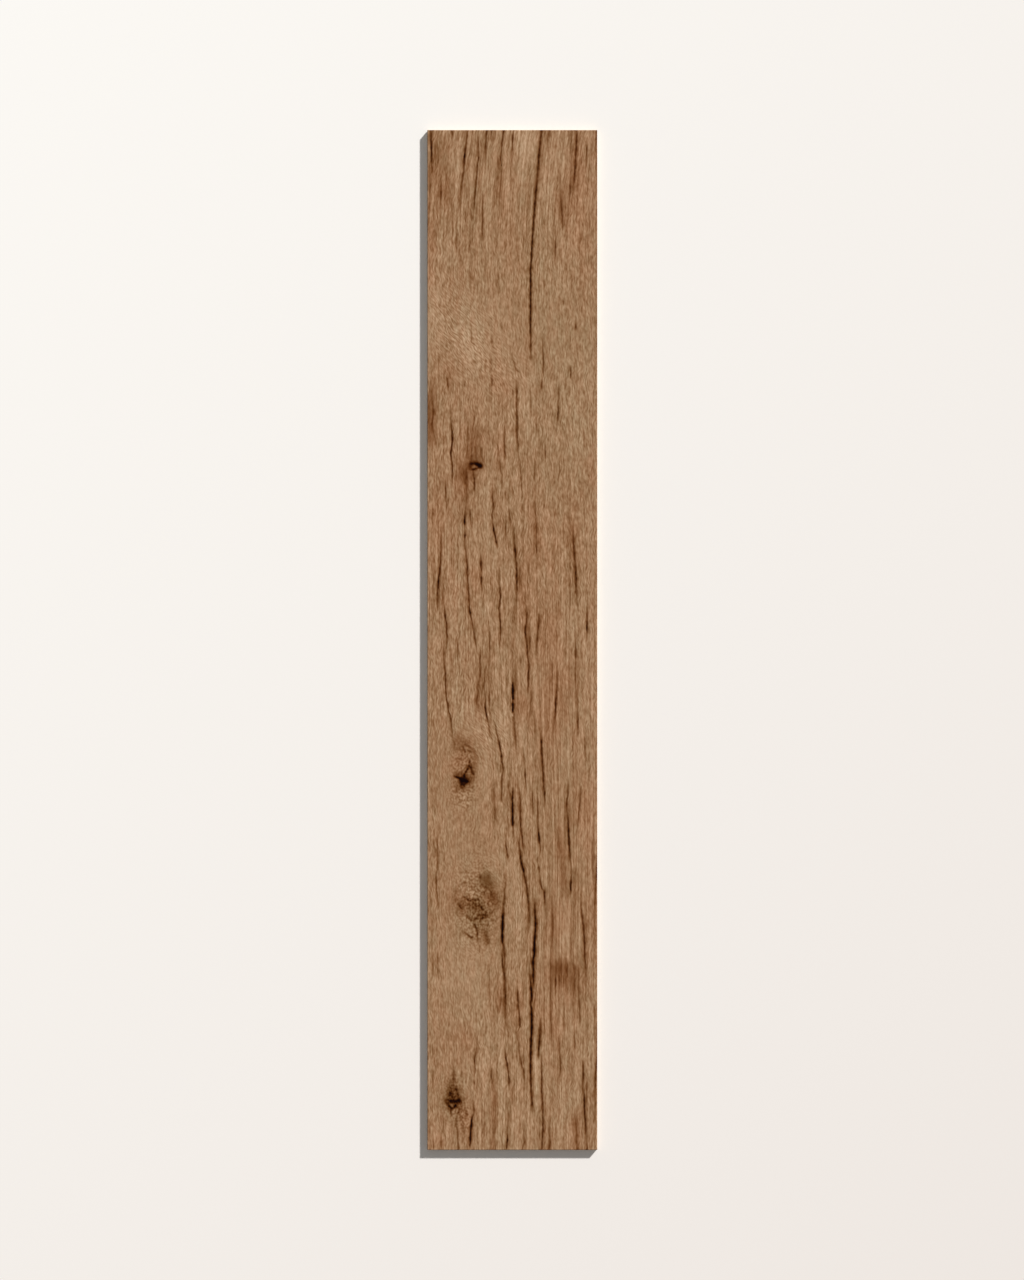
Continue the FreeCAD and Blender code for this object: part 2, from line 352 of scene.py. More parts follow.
# %% Checks and streaks from 750 to 900 mm
CHECKS += strokes("""
3: 764 79 8, 774 79 24, 782 78.6 34, 790 78 32, 797 79.2 42, 804 79.8 46, 811 79.4 36, 818 78.6 8
2: 766 95.5 15, 773 95.3 45, 777 96 25, 781 97.3 38, 786 98 15
2.4: 772 100.6 20, 778 100.7 70, 786 100.2 90, 795 100.4 118, 803 100.5 115, 813 100.5 132,
818 100.7 104, 821 100.8 40, 834 102 20, 845 102 0
2.2: 772 108.5 10, 780 108.7 38, 786 109 58, 799 109.3 66, 820 110 74, 831 111.4 70, 837 112.2 68,
843 112.6 56, 848 113.4 24, 856 114 0
2.7: 830 107.8 8, 838 107.8 50, 845 108.4 46, 852 109.8 78, 858 110 106, 862 110.6 98, 867 112.2 112,
872 113.4 120, 876 114 68, 881 115 82, 885 115.8 62, 889 116.8 78, 895 117.5 72, 905 118.4 84,
910 118.9 66, 922 119.9 60, 928 120 60, 935 119.6 34, 950 118.5 0
2: 776 123.4 12, 783 123.6 48, 790 123.6 58, 799 124.3 38, 806 124.6 10
2: 782 129.4 15, 790 129.8 42, 813 129.9 46, 824 130.6 50, 829 131.1 92, 833 131.4 98, 837 131.8 58,
842 132.8 48, 848 133.4 42, 852 132.6 8, 857 129.6 36, 861 129.4 30, 864 130.4 20, 868 131.3 64,
871 131.6 50, 874 131.8 14, 878 132.2 30, 884 133 44, 888 133.8 66, 892 134.6 64, 896 136.6 36,
899 137 0
3.2: 825 131 20, 829 131.2 42, 834 131.6 46, 838 132 24, 841 132.4 0
2.4: 892 138.2 20, 897 138.2 80, 903 138 82, 908 138.6 62, 913 139.2 34, 921 139.6 24, 930 140 8
6: 915 139.5 4, 935 139.5 14, 955 140 10, 970 140 0
2.2: 764 165.8 10, 770 165.8 44, 782 165.4 64, 788 164.4 58, 793 163.8 64, 797 163.6 40, 803 164.4 30,
809 165.4 52, 820 165.9 88, 832 166.6 98, 844 167.2 90, 855 167.8 58, 866 169.2 20, 872 170.3 34,
877 169.8 44, 881 169.3 66, 886 168.9 96, 890 168.7 104, 894 168.6 92, 897 168.5 50, 901 168.4 10
5: 790 168 15, 800 167.5 28, 808 168 28, 830 169 0
2: 770 181.2 10, 778 180.6 42, 784 180.2 48, 801 178.4 46, 807 177.8 48, 819 176.9 32, 832 176 20,
850 175.2 0
7: 820 153.5 6, 834 155.5 18, 850 158 25, 868 159.5 28, 885 161.5 28, 900 164 18, 914 166 0
2: 822 153.6 8, 832 154 22, 842 155.4 20, 852 157 10
1.9: 830 92 10, 838 92.2 40, 843 92.5 76, 848 93.6 68, 853 94.3 76, 857 94.7 42, 862 95 10
1.9: 826 11.5 10, 836 11.6 34, 849 11.8 44, 856 12.8 40, 863 12 50, 869 12.4 32, 873 10.6 40,
881 10.2 54, 887 10.4 52, 896 10.8 40, 906 11 10
1.8: 834 6.6 8, 839 7 32, 843 7 8
1.8: 849 6.8 8, 853 7.2 34, 857 7.2 8
1.6: 793 8 10, 800 8.8 28, 806 9.6 10
2.6: 850 199.5 10, 862 199.3 40, 872 199.2 62, 880 198.9 60, 896 197.8 45, 915 197 25, 950 197 15,
970 197 0
2.4: 830 195 10, 845 194.7 28, 862 194.4 44, 870 194.8 34, 885 196.6 14
1.5: 780 10.3 10, 787 10.2 28, 793 10.5 10
1.6: 866 174 10, 873 174.5 28, 884 174 0
1.8: 872 90.5 15, 879 91.2 38, 884 92 28, 889 92.4 42, 893 91 25
""")
print(f"{len(CHECKS)} strokes down to 900 mm")

# %% Checks and streaks from 900 to 1050 mm
CHECKS += strokes("""
2.7: 893 90.5 20, 899 90.7 50, 904 91 58, 914 89.6 52, 919 89.3 62, 923 89.2 105, 927 88.9 138,
937 88.6 145, 945 88.2 125, 949 88.3 140, 953 88.3 115, 957 89 80, 961 90 72, 970 91 65, 976 90.8 45,
983 91 35, 996 91 52, 1004 91.4 30, 1010 91.5 0
3: 1000 91.6 20, 1007 91.6 46, 1014 91.6 66, 1022 91.6 72, 1028 91.8 56, 1036 92 46, 1048 92 34,
1060 92 10
2: 962 87.4 10, 969 87.8 40, 974 88 66, 979 88.2 80, 984 88.6 66, 988 89.2 58, 993 90 54, 999 91 20
2.9: 898 123.2 10, 905 125.2 28, 909 126 52, 914 126.4 70, 924 126.9 96, 934 127.7 110, 939 127.4 100,
949 126.6 110, 954 126.2 132, 959 125.9 140, 969 126 135, 977 124.5 112, 986 124.8 105, 996 124.6 100,
1001 124.8 90, 1005 124.9 60, 1012 124.4 0
2.5: 976 119 10, 985 119.8 35, 992 120.3 42, 998 121 60, 1007 121.9 92, 1016 122.8 125, 1020 122.9 125,
1024 122.3 90, 1028 121.8 85, 1037 122.8 110, 1047 123 136, 1057 123 132, 1067 122.4 116,
1084 121.9 114, 1096 121.7 102, 1108 121.6 102, 1118 121.8 88, 1130 122.2 75, 1136 122.8 75,
1146 123.3 85, 1150 123.4 50, 1158 124 0
1.8: 960 121 10, 970 121.3 32, 976 122 38, 982 123 30
1.6: 1012 126.8 10, 1018 127.3 30, 1024 126.4 38, 1030 125.6 35, 1036 125.8 10
2.2: 1006 106 10, 1013 106 52, 1023 106.7 84, 1027 106.8 82, 1032 107 58, 1042 108.3 62, 1051 109 78,
1055 108.9 72, 1058 107.5 32, 1062 105.5 25, 1074 107.2 38, 1086 108.5 38, 1097 110.2 55, 1101 111.3 42,
1106 113.2 52, 1111 113.7 48, 1122 115 15
1.5: 1042 104.8 10, 1050 104.3 28, 1056 105.5 28
1.6: 1084 113.3 15, 1091 113.6 35, 1101 113.5 30
2.2: 898 181 10, 908 180.8 24, 915 180.8 40, 924 182.2 62, 935 183.4 76, 941 183.8 66, 953 184.8 72,
964 185.1 62, 970 185.3 70, 982 185.9 56, 993 186.6 34, 1008 187 0
2.4: 900 146.8 15, 915 147 26, 926 147.4 44, 943 147.7 36, 960 146.6 26, 976 146 14
2.4: 976 152 10, 982 152.3 20, 988 151.8 22, 994 150.5 15
2.2: 974 157 10, 984 157 22, 990 156.8 18, 996 157.5 10
2.4: 974 164 10, 981 164.5 28, 986 164.6 40, 990 164.3 34, 995 165 30, 999 163 12
2: 994 151 20, 1000 151 55, 1006 151 52, 1012 150.5 28, 1018 150.5 10
1.8: 995 155 15, 1000 155.5 40, 1010 156 0
1.8: 995 160 15, 1000 160.3 28, 1006 160 15
2: 980 172.8 15, 987 173 42, 992 173.4 40, 997 173 25, 1002 173.3 42, 1012 172.8 30, 1018 172.5 10
2.4: 975 145.4 10, 985 145.4 32, 992 145.2 22, 1006 145 36, 1020 144.8 38, 1034 144.8 38, 1048 145.2 44,
1058 145.8 40, 1070 145.8 28, 1080 145.8 0
2.2: 980 177.8 10, 990 178 26, 1008 177.6 34, 1022 178.2 42, 1036 179.3 36, 1054 180.2 0
2.2: 1026 196 10, 1034 196.3 32, 1041 196.8 38, 1056 197 10
2.4: 1018 86.5 10, 1024 86.8 32, 1028 86 28, 1034 83.5 25, 1038 84 10
2.2: 980 73 18, 1000 73 26, 1018 73 28, 1030 73.4 10
1.8: 966 6 10, 974 6.3 28, 984 6.6 38, 998 6.8 0
1.8: 966 12 10, 976 12.2 35, 983 11.5 20, 990 12.6 40, 996 12.6 15
1.7: 896 12 10, 905 12.6 30, 911 13 32, 922 13 0
1.6: 928 6.5 10, 935 6.6 28, 942 6.4 10
1.5: 1012 17 10, 1017 17.2 28, 1022 17.5 0
1.5: 1049 44 10, 1054 44 30, 1059 44 10
""")
print(f"{len(CHECKS)} strokes down to 1050 mm")

# %% Checks and streaks of the bottom end
CHECKS += strokes("""
2.8: 1043 133 15, 1050 133 45, 1060 132.6 74, 1072 131.8 90, 1083 131 86, 1089 130.7 62, 1095 130.8 0
2.1: 1086 134.5 10, 1096 134.6 45, 1117 134.7 72, 1131 134.8 70, 1138 135.3 66, 1159 135.9 66,
1177 136.2 82, 1182 135.8 76, 1187 135.2 70, 1200 134.8 70
1.9: 1078 91 10, 1084 91.4 34, 1089 92 64, 1093 92.5 84, 1096 93.3 72, 1099 94 104, 1102 94.2 70,
1106 94.8 52, 1110 95.4 60, 1115 95.9 80, 1120 96.2 88, 1124 96 50, 1132 95.5 10
1.9: 1066 58 10, 1074 58.2 26, 1084 57.2 36, 1089 56.2 40, 1093 55.6 76, 1097 55.6 70, 1100 55.9 30,
1106 56.2 48, 1111 55.6 30, 1116 55 8
1.8: 1118 54.8 20, 1121 55 50, 1124 55.5 15
2: 1100 75 10, 1107 75 42, 1113 75.1 58, 1119 76 44, 1125 77.2 16, 1130 78 0
3.8: 1124 78 6, 1134 80 18, 1142 81 24, 1152 80.6 16, 1164 80 18, 1173 80 26, 1182 78.6 22, 1190 77 16,
1200 75.4 10
2: 1186 80.5 10, 1193 81 28, 1200 80 42
2.4: 1140 54 10, 1146 54.4 36, 1153 55 44, 1158 54.4 40, 1162 53 34, 1166 52.4 0
2.4: 1158 53.4 0, 1162 52.6 60, 1166 52.2 108, 1170 51.9 116, 1178 51.1 106, 1182 50.8 122,
1186 50.6 116, 1194 50.2 80, 1199 50 10
2.1: 1140 92.5 15, 1158 95.5 25, 1179 94 30, 1184 94.1 70, 1188 94.2 95, 1193 93.8 80, 1200 93 62
3: 1138 96 8, 1150 96.5 14, 1180 97 10, 1195 97 0
1.8: 1116 102 15, 1124 102.5 28, 1129 100.5 25, 1142 100.3 35, 1147 100.2 15
2.1: 1094 183.2 8, 1102 183.2 50, 1112 183.6 66, 1119 182.8 34, 1126 182.2 30, 1132 184 34,
1138 184.8 72, 1152 184.9 82, 1158 185.1 70, 1168 186.2 74, 1178 186.4 58, 1184 186.6 34, 1190 187 8,
1195 188 40, 1200 188.2 80
2.2: 1116 188 10, 1125 187.8 30, 1133 187.3 30, 1150 187 10
7: 1096 182.5 6, 1115 183.5 18, 1140 184.5 22, 1165 186 20, 1190 187.5 8, 1200 188 6
8: 1148 174 4, 1165 175 18, 1185 176 22, 1200 177 20
2.6: 1040 199.6 10, 1065 199.4 40, 1085 199.5 30, 1098 199.2 60, 1113 198 70, 1126 197.4 52,
1145 197.4 34, 1170 198.5 10
3: 1156 173.8 8, 1164 174.4 22, 1172 175 26, 1180 175.6 16, 1188 175 18, 1194 176 30, 1200 176.6 34
2.4: 1162 144 10, 1172 143.5 28, 1180 143.5 28, 1186 144.2 48, 1195 144 68, 1200 143 55
2: 1168 113 10, 1176 113.4 30, 1187 114 42, 1192 113.8 45, 1200 111.5 35
2: 1064 155 10, 1075 155.2 46, 1088 155.8 42, 1098 156.8 58, 1106 156.8 58, 1112 156 20, 1116 155.8 0
1.8: 1060 173.3 15, 1067 173 42, 1078 173.8 50, 1083 173.8 10
2.2: 1168 33.8 10, 1172 34 20, 1177 35.2 34, 1182 35.8 40, 1187 35.8 30, 1194 36.4 45, 1200 37 48
1.8: 1112 6.3 15, 1118 6.4 42, 1122 6.5 10
1.6: 1076 6 15, 1084 6.4 32, 1090 6.8 15
2: 1158 18.5 10, 1168 18.7 28, 1176 18.5 28, 1184 18 10
2.2: 1183 16.5 10, 1191 16.8 32, 1200 17 22
2: 1182 6.5 10, 1191 6.8 32, 1198 7 25
1.8: 1166 67 10, 1175 66.7 32, 1181 66.5 10
2: 1182 126.5 10, 1190 126.2 28, 1197 126.5 22
2.6: 1102 31 10, 1110 31 28, 1116 30.8 32, 1124 31 20
""")
print(f"{len(CHECKS)} strokes in all")

# %% [markdown]
# ## The knots
# A knot is the root of a branch. It is dark and cracked, and it isn't drawn along the grain, so it
# needs marks that can run any way. A mark is written as a stroke is, but its points have x, y and
# darkness. A spot is a soft ellipse: its middle, its two half widths and its darkness. A negative
# darkness lightens, as a fleck of pale wood does.

# %% Marks of the first knot
MARKS = strokes("""
4: 52 392 70, 55 392 84, 58 393 112, 61 394.2 130, 63 395.2 125
4: 51.2 394 52, 50 396 62, 50.4 398.4 58, 50.4 400.4 30
2.6: 53.4 399 62, 55 399.2 82, 57 398.6 54
2.2: 57 398.4 44, 61 397.6 50, 63.4 397.4 46
2: 54 396.4 -6, 56 395.8 -34, 58 396.6 -12
1.8: 19 422 -8, 19 425 -16, 19 428 -8
1.8: 24 427 -8, 24 430 -16, 24 433 -8
""")
print(f"{len(MARKS)} marks so far")

# %% Marks of the second knot
MARKS += strokes("""
2.8: 44 723 20, 49 725.6 34, 54 729.5 28, 57 734 30, 58.6 738 24
2.8: 41.5 726 30, 43 728.5 46, 44.6 731.4 50
3.4: 37.6 727 28, 39.4 731 34
3.2: 49 730.6 42, 51 732 42
3.2: 34.8 740 28, 39 739.8 34
3.4: 49.6 742.2 56, 49.8 743.6 58
4.4: 47.8 750.2 80, 49.8 748.8 100, 51 750 82
2.4: 47 752 55, 45.6 755 55, 44 758 62, 43.4 760.5 80
3.5: 51.6 753 36, 52.8 755.4 50, 54 757.6 66
3: 31.4 760 52, 34 761 84, 37.6 762.6 88, 40.5 764 84
3.2: 46 766 84, 49 767 34
4: 40 766 54, 39.4 769 58, 40.4 771.8 44
3.2: 43.2 769.6 50, 44 772.4 46
""")
print(f"{len(MARKS)} marks so far")

# %% Marks of the third knot
MARKS += strokes("""
2.4: 42.6 901.5 30, 45 903.5 52, 48 906 62, 50.6 907 58
2.8: 54 905.6 50, 57 906.4 66, 59.4 905.6 45
2.8: 37 911 38, 38.6 914 46, 41 917 40
3.6: 38 888 10, 43 886 22, 48 886.6 18, 52 888 6
2.4: 44 873.4 18, 46 872.8 30, 48.4 873.4 22
2.4: 61.6 875 18, 61.8 878.5 40, 61.8 882 16
3: 62 888.6 14, 67 890.4 28, 71 891 18
2.6: 67 896 14, 67 899.4 30, 67.2 903 12
2.6: 75.4 897.5 22, 75.2 900.5 42, 74.6 903.5 24
3: 62.2 912.6 52, 63.6 915 74, 65 917.4 60
3.2: 66.6 923 70, 68.4 924 88, 70 924.6 60
2: 68 920 40, 69 921.4 50
4.2: 61 922.5 40, 62.6 924.4 52, 64 926.6 44
2.2: 65.4 926.8 42, 67.4 928 46, 69.4 926.8 34
2.2: 63.2 928.6 38, 62.6 931.6 30
3: 47 925 34, 49 927 38, 52 929.6 38
3.4: 55.4 929 36, 57.4 928 46
2.4: 53.6 909.8 26, 57 912.8 34, 60 913 24
2.8: 55.2 935 50, 56.6 937 76, 57.4 938.8 54
2.4: 58 941 46, 58.8 945 58, 58.6 948.6 46, 60 952.6 28
2.6: 46.8 946 34, 49 948.6 56, 51.4 950 66, 53.6 949.6 44
3: 43.8 944 22, 45.4 945.4 26
2.4: 71.4 932 30, 71.4 934.6 46, 70.6 937 22
6: 68.6 943 42, 69.4 949 58, 71 956 42
2: 64.6 940 18, 64.8 932.4 22
2.8: 73.6 920.4 26, 76 920.8 36
1.8: 60.8 959 18, 61.4 963.4 30, 62 967 14
1.8: 65 963 14, 68 961 20
""")
print(f"{len(MARKS)} marks so far")

# %% Marks of the fourth knot
MARKS += strokes("""
4: 30.6 1104 8, 30.8 1112 22, 31.4 1119 24
5: 26.4 1121 22, 27 1127 30, 26.8 1131 28
3.4: 27 1132.6 55, 27.6 1135 74
4: 32.6 1128.4 48, 34.2 1129.6 56
3: 35.6 1133 44, 36.4 1136 52
2.6: 29 1138.4 40, 32 1137.4 40
5.8: 28.8 1143.4 80, 32 1143 100, 35 1142.6 96, 37.6 1142.2 72
3.2: 24.4 1141 40, 27.4 1142.6 56
3.2: 36.8 1140 44, 37.8 1144 52
3.4: 23.4 1145.4 52, 25.6 1148.4 66, 28.6 1151 82, 31 1150 82, 33.4 1147.4 76
3: 33.4 1148.6 58, 35.4 1149.4 48
3.6: 22.4 1139 26, 22.2 1144 36
3.4: 23 1151 24, 25.4 1152 30
2.4: 27.6 1152 50, 27.6 1155.6 66, 27.9 1160 30
3: 40 1148.6 22, 38.4 1152.6 34, 36.4 1156.6 36, 34.8 1161 36, 33.6 1167 40, 33.8 1173 26
2.8: 43.4 1152.6 30, 45.4 1153.6 30
2.4: 45 1157.4 26, 47.4 1158.4 32
2.8: 43 1178.4 36, 44 1179.6 36
2.6: 39 1161.4 24, 40.6 1162.4 26
2.6: 40.6 1170 18, 42 1174 24
""")
print(f"{len(MARKS)} marks so far")

# %% Pale flecks in the wood
MARKS += strokes("""
1.2: 71 682 -15, 71.8 687 -25, 73.2 692 -15
2.2: 100.3 686 -30, 100.3 688.5 -70, 100.3 691 -20
1.6: 57.6 1100 -10, 57.8 1103 -22, 57.6 1106 -10
2: 65.6 921 -28, 66.6 922 -28
1.6: 123.3 1026 -10, 123.3 1028 -30, 123.3 1030 -10
""")
print(f"{len(MARKS)} marks so far")

# %% Spots of the knots and of the stains
SPOTS = table("""
61.2 394.6 3.4 2.5 66, 57 394 9 6 14, 52 394 6 7 20, 43.5 404 4.6 8.5 26, 43.6 765 4.3 3.7 120,
42 766.5 8 7 46, 47 756 6 6 22, 40 757.5 4.5 2.6 26, 41 775 6 3 14, 37 775 6 4 12, 53.5 757 4 5 20,
52 763 4 3.5 22, 52 774 4 3 20, 38.6 790.5 2.2 2.8 28, 33 791.5 1.8 2.2 20, 47.5 798 2.2 1.6 22,
52.5 785.5 1.8 2 16, 39 719 8 6 22, 43 731 11 10 8, 48 741 8 6 10, 42 724 11 6 9, 36 757 4 5 18,
56 745 4.5 8 14, 49 757 2.2 3 -10, 70 882 6 5.5 38, 63 886 6 5 14, 74 887 4.5 2.6 18, 72 876 2.2 3.6 26,
68 901 12 15 24, 74 894 6 7 22, 64 878 7 6 14, 56 912 10 6 14, 42 905 11 5 12, 82 908 4.5 6 18,
78.5 907 5 9 28, 54 917 12 8 22, 62 927 12 9 18, 58 943 15 12 13, 34.5 895.5 2 3.6 26, 33 906.5 2 2 26,
40 912 8 9 18, 52 916 4.5 5 14, 80.5 918 3 3 16, 82 928 2 2.2 20, 81.5 938 2 2 20, 81 945 1.8 1.8 16,
45 952 3 3 -14, 52 941 4 6 -10, 52 897 7 4 -10, 30 1127 6.5 9 32, 30 1141 9.5 9 52,
28.9 1147.4 2 1.5 -32, 44 1158 6 10 12, 37 1174 8 16 8, 156 986 10 10 42, 147 989 3 10 10,
159 1003 11 9 16, 169 1000 4.5 11 16, 86 1022 6.5 13 18, 54 1066 4.5 4 14, 18.5 189 2.6 1.2 24,
27.5 198.5 1.4 1.4 26, 41 220 1.8 1.5 26, 47 218 1.6 1.8 26, 20.5 210 1.4 1.3 24
""")
print(f"{len(SPOTS)} spots")

# %% [markdown]
# ## Broad zones
# Between the checks the wood changes slowly: pale sapwood, red-brown heartwood, and a patch of curly
# figure near the top where the fibres ripple. Each zone is a soft ellipse, written as its middle, its
# half widths, how many grey levels it lightens the wood, and how far it turns the colour to red (1) or
# to olive (-1). The curly, streaky, calm and knotty patches say how strong each kind of fine grain is
# there.

# %% Zones of tone and of colour
ZONES = table("""
115 14 10 20 17 -0.2, 150 35 14 36 6 0, 34 40 6 34 6 0.1, 64 45 3 26 5 0, 93 55 4 28 6 0.2,
140 66 7 16 3 0, 92 22 8 30 3 0, 175 60 10 40 -4 0.9, 158 90 6 26 0 0.8, 182 115 16 60 -3 0.6,
18 72 8 20 -5 1, 54 92 5 26 -3 -0.4, 119 112 5 34 3 0, 5 128 5 22 -3 1, 105 140 11 28 -2 0.4,
88 85 6 22 -1 0.3, 136 110 7 40 2 -0.2, 5 170 6 16 -3 1, 8 215 11 38 11 -0.1, 50 235 15 34 11 -0.3,
55 262 16 20 6 0, 86 240 14 40 5 0.1, 158 182 8 16 4 0, 25 285 14 20 -3 0.5, 112 300 9 34 6 0.1,
84 296 8 16 1 0.7, 160 240 36 90 1 -0.5, 165 340 28 90 1 -0.3, 150 420 40 60 1 -0.2, 5 335 6 30 -4 1,
40 415 8 22 -2 1, 87 374 7 18 -2 0.8, 193 404 8 20 -2 0.9, 12 475 12 40 -3 1, 130 468 9 34 -4 0.8,
171 462 8 28 -5 0.9, 145 520 22 70 -3 0.4, 66 495 8 24 6 -0.2, 88 512 9 22 5 0, 86 545 8 20 3 0.2,
30 530 6 30 4 0.5, 60 525 9 18 -3 1, 112 545 9 30 -3 0.9, 145 592 9 20 -3 0.9, 170 590 10 30 1 -0.4,
65 652 9 24 -5 -0.5, 45 690 9 18 4 0, 72 705 13 16 6 0, 90 705 6 30 7 0, 112 735 5 34 6 -0.1,
68 755 8 32 5 -0.2, 120 780 7 30 4 0, 112 676 7 12 -2 1, 147 660 9 40 -4 1, 132 690 12 40 -2 0.4,
190 805 9 40 -4 1, 88 862 11 16 6 0, 105 920 7 42 7 -0.3, 40 985 24 34 6 -0.3, 60 1045 20 30 3 -0.3,
36 745 12 14 -2 0.9, 40 905 14 14 -2 0.9, 148 935 7 26 -4 0.9, 148 1045 10 34 -6 0.9,
57 920 17 26 0 -1.2, 69 881 9 8 0 -1.5, 30 1141 11 14 0 -0.9, 188 940 9 30 -3 0.6, 168 925 8 26 -1 0.5,
106 1030 7 20 -2 0.9, 84 1024 8 16 -2 1, 68 1110 4 34 9 0, 87 1130 4 46 14 0, 79 1150 3.5 34 -9 0.8,
103 1175 4 30 8 0, 128 1112 3.5 24 7 0, 30 1080 10 20 -1 0.6, 45 1068 7 12 -3 1, 44 1165 10 22 -2 1,
12 1190 10 14 2 0.9, 100 1100 7 20 -2 0.3, 165 1150 12 30 4 -0.3, 175 1178 7 22 -2 1.4,
190 1065 8 30 2 -0.5, 196 890 5 36 -4 0.8, 44 406 7 16 0 1.3, 59 660 5 26 0 0.8, 57 370 8 18 0 0.9,
110 680 7 11 -3 0.9, 158 850 6 30 -4 0.9, 157 990 14 18 0 1, 75 906 7 10 0 0.7, 127 1025 4 18 0 1,
146 700 12 40 0 0.7, 160 640 14 30 0 0.5, 170 1025 12 28 -4 0.6
""")
print(f"{len(ZONES)} zones")

# %% Patches of curly, streaky and knotty grain
CURL = table("""
52 255 26 34 1, 92 285 18 22 0.7, 20 235 14 30 0.5, 28 203 24 24 0.45, 72 712 18 20 0.9,
60 885 24 30 0.6, 58 950 18 18 0.6, 42 745 15 30 0.7, 30 1140 12 20 0.6
""")
STREAKY = table("""
100 50 140 75 0.5, 100 230 170 55 -0.45, 165 385 40 60 -0.3, 35 1005 45 80 -0.5, 35 820 40 40 -0.2,
160 900 45 280 0.6, 30 500 40 90 0.25, 110 640 60 60 0.25, 75 1150 50 60 0.3, 42 750 26 50 -0.6,
60 905 26 55 -0.6, 30 1140 14 30 -0.4
""")
KNOTTY = table("""
55 396 10 8 0.6, 44 745 14 26 0.85, 42 785 14 16 0.8, 60 910 22 42 1.2, 70 884 9 8 -0.6,
30 1138 10 22 1.1, 44 1164 8 16 0.8
""")
print(f"{len(CURL)} curly patches, {len(STREAKY)} streaky or calm ones and {len(KNOTTY)} knotty ones")

# %% [markdown]
# ## From drawing to fields
# Every vertex of the face asks the drawing for its darkness. A stroke runs along the plank, so its
# middle and its darkness are plain functions of y, and the darkness falls off sideways as a bell curve.
# Small sines bend each stroke and vary its width, as a split in wood isn't ruled, and it gapes where it
# is darkest. Overlapping darkness is joined by multiplying what light is left, so that two strokes on
# one spot don't go below black.

# %% Shapes of a stroke, a mark and a spot
STAIN = 0.11
STAIN_FULL = 55.0
STAIN_SPREAD = 3.2
CHECK_THIN, CHECK_OPEN = 60.0, 145.0
THIN_GAPE, OPEN_GAPE = 0.94, 1.2
BENDS = ((0.12, 0.62, 1.0), (0.08, 1.3, 2.0))
WIDTH_WAVE = (0.16, 0.41, 1.7)
DARK_WAVE = (0.1, 0.83, 2.3)
BELL = 4 * math.log(2)


def wave(shape, y, phase):
    """A small sine along the plank, from its height, its pitch and its share of the stroke's phase."""
    height, pitch, share = shape
    return height * np.sin(pitch * y + share * phase)


def stroke_line(stroke, y):
    """Middle, width and darkness of one stroke at places y along the plank."""
    width, points = stroke
    phase = points[0, 0] + points[0, 1]
    middle = np.interp(y, points[:, 0], points[:, 1])
    for bend in BENDS:
        middle = middle + wave(bend, y, phase)
    dark = np.interp(y, points[:, 0], points[:, 2])
    gape = np.interp(dark, (CHECK_THIN, CHECK_OPEN), (THIN_GAPE, OPEN_GAPE)) if width < WIDEST_CHECK else 1.0
    spread = width * gape * (1 + wave(WIDTH_WAVE, y, phase))
    return middle, spread, dark * (1 + wave(DARK_WAVE, y, phase))


def stroke_bell(stroke, x, y):
    """Darkness that one lengthwise stroke gives, with the brown stain that lies along a check."""
    middle, spread, dark = stroke_line(stroke, y)
    off = ((x - middle) / spread) ** 2
    stain = STAIN * np.minimum(dark, STAIN_FULL) if stroke[0] < WIDEST_CHECK else 0
    return (dark - stain) * np.exp(-BELL * off) + stain * np.exp(-BELL * off / STAIN_SPREAD ** 2)


def mark_bell(mark, x, y):
    """Darkness that one free mark gives, from the nearest place on its line."""
    width, points = mark
    found = np.zeros_like(x)
    for start, end in zip(points[:-1], points[1:]):
        along = end[:2] - start[:2]
        share = ((x - start[0]) * along[0] + (y - start[1]) * along[1]) / (along @ along)
        share = np.clip(share, 0, 1)
        off = np.hypot(x - start[0] - share * along[0], y - start[1] - share * along[1])
        bell = (start[2] + share * (end[2] - start[2])) * np.exp(-BELL * (off / width) ** 2)
        found = np.where(np.abs(bell) > np.abs(found), bell, found)
    return found


def ellipse_bell(row, x, y):
    """One at the middle of a soft ellipse, and a half at its half widths."""
    return np.exp(-math.log(2) * (((x - row[0]) / row[2]) ** 2 + ((y - row[1]) / row[3]) ** 2))


print("the first stroke 20 mm down: middle, width and darkness",
      [round(float(value[0]), 1) for value in stroke_line(CHECKS[0], np.array([20.0]))])

# %% Darkness and zones of the whole drawing
FULL_DARK = 175.0
MARK_REACH = 3


def darkness(x, y):
    """Darkness of the whole drawing at points of the face, in grey levels."""
    light = np.ones_like(x)
    lifted = np.zeros_like(x)

    def lay(bell, near):
        light[near] *= 1 - np.clip(bell / FULL_DARK, 0, 1)
        lifted[near] += np.clip(-bell, 0, None)

    for stroke in CHECKS:
        ends = stroke[1][[0, -1], 0]
        near = np.flatnonzero((y >= ends[0]) & (y <= ends[1]))
        lay(stroke_bell(stroke, x[near], y[near]), near)
    for mark in MARKS:
        reach = MARK_REACH * mark[0]
        (x0, y0), (x1, y1) = mark[1][:, :2].min(0) - reach, mark[1][:, :2].max(0) + reach
        near = np.flatnonzero((x > x0) & (x < x1) & (y > y0) & (y < y1))
        lay(mark_bell(mark, x[near], y[near]), near)
    for spot in SPOTS:
        lay(spot[4] * ellipse_bell(spot, x, y), slice(None))
    return FULL_DARK * (1 - light) - lifted


def zone_sum(rows, column, x, y):
    """Sum of one column of a table of soft ellipses at points of the face."""
    total = np.zeros_like(x)
    for row in rows:
        total += row[column] * ellipse_bell(row, x, y)
    return total


probe = darkness(np.array([100.8, 150.0, 43.5]), np.array([664.0, 250.0, 765.0]))
print("darkness in the black check, in plain wood and in a knot:", probe.round(0))

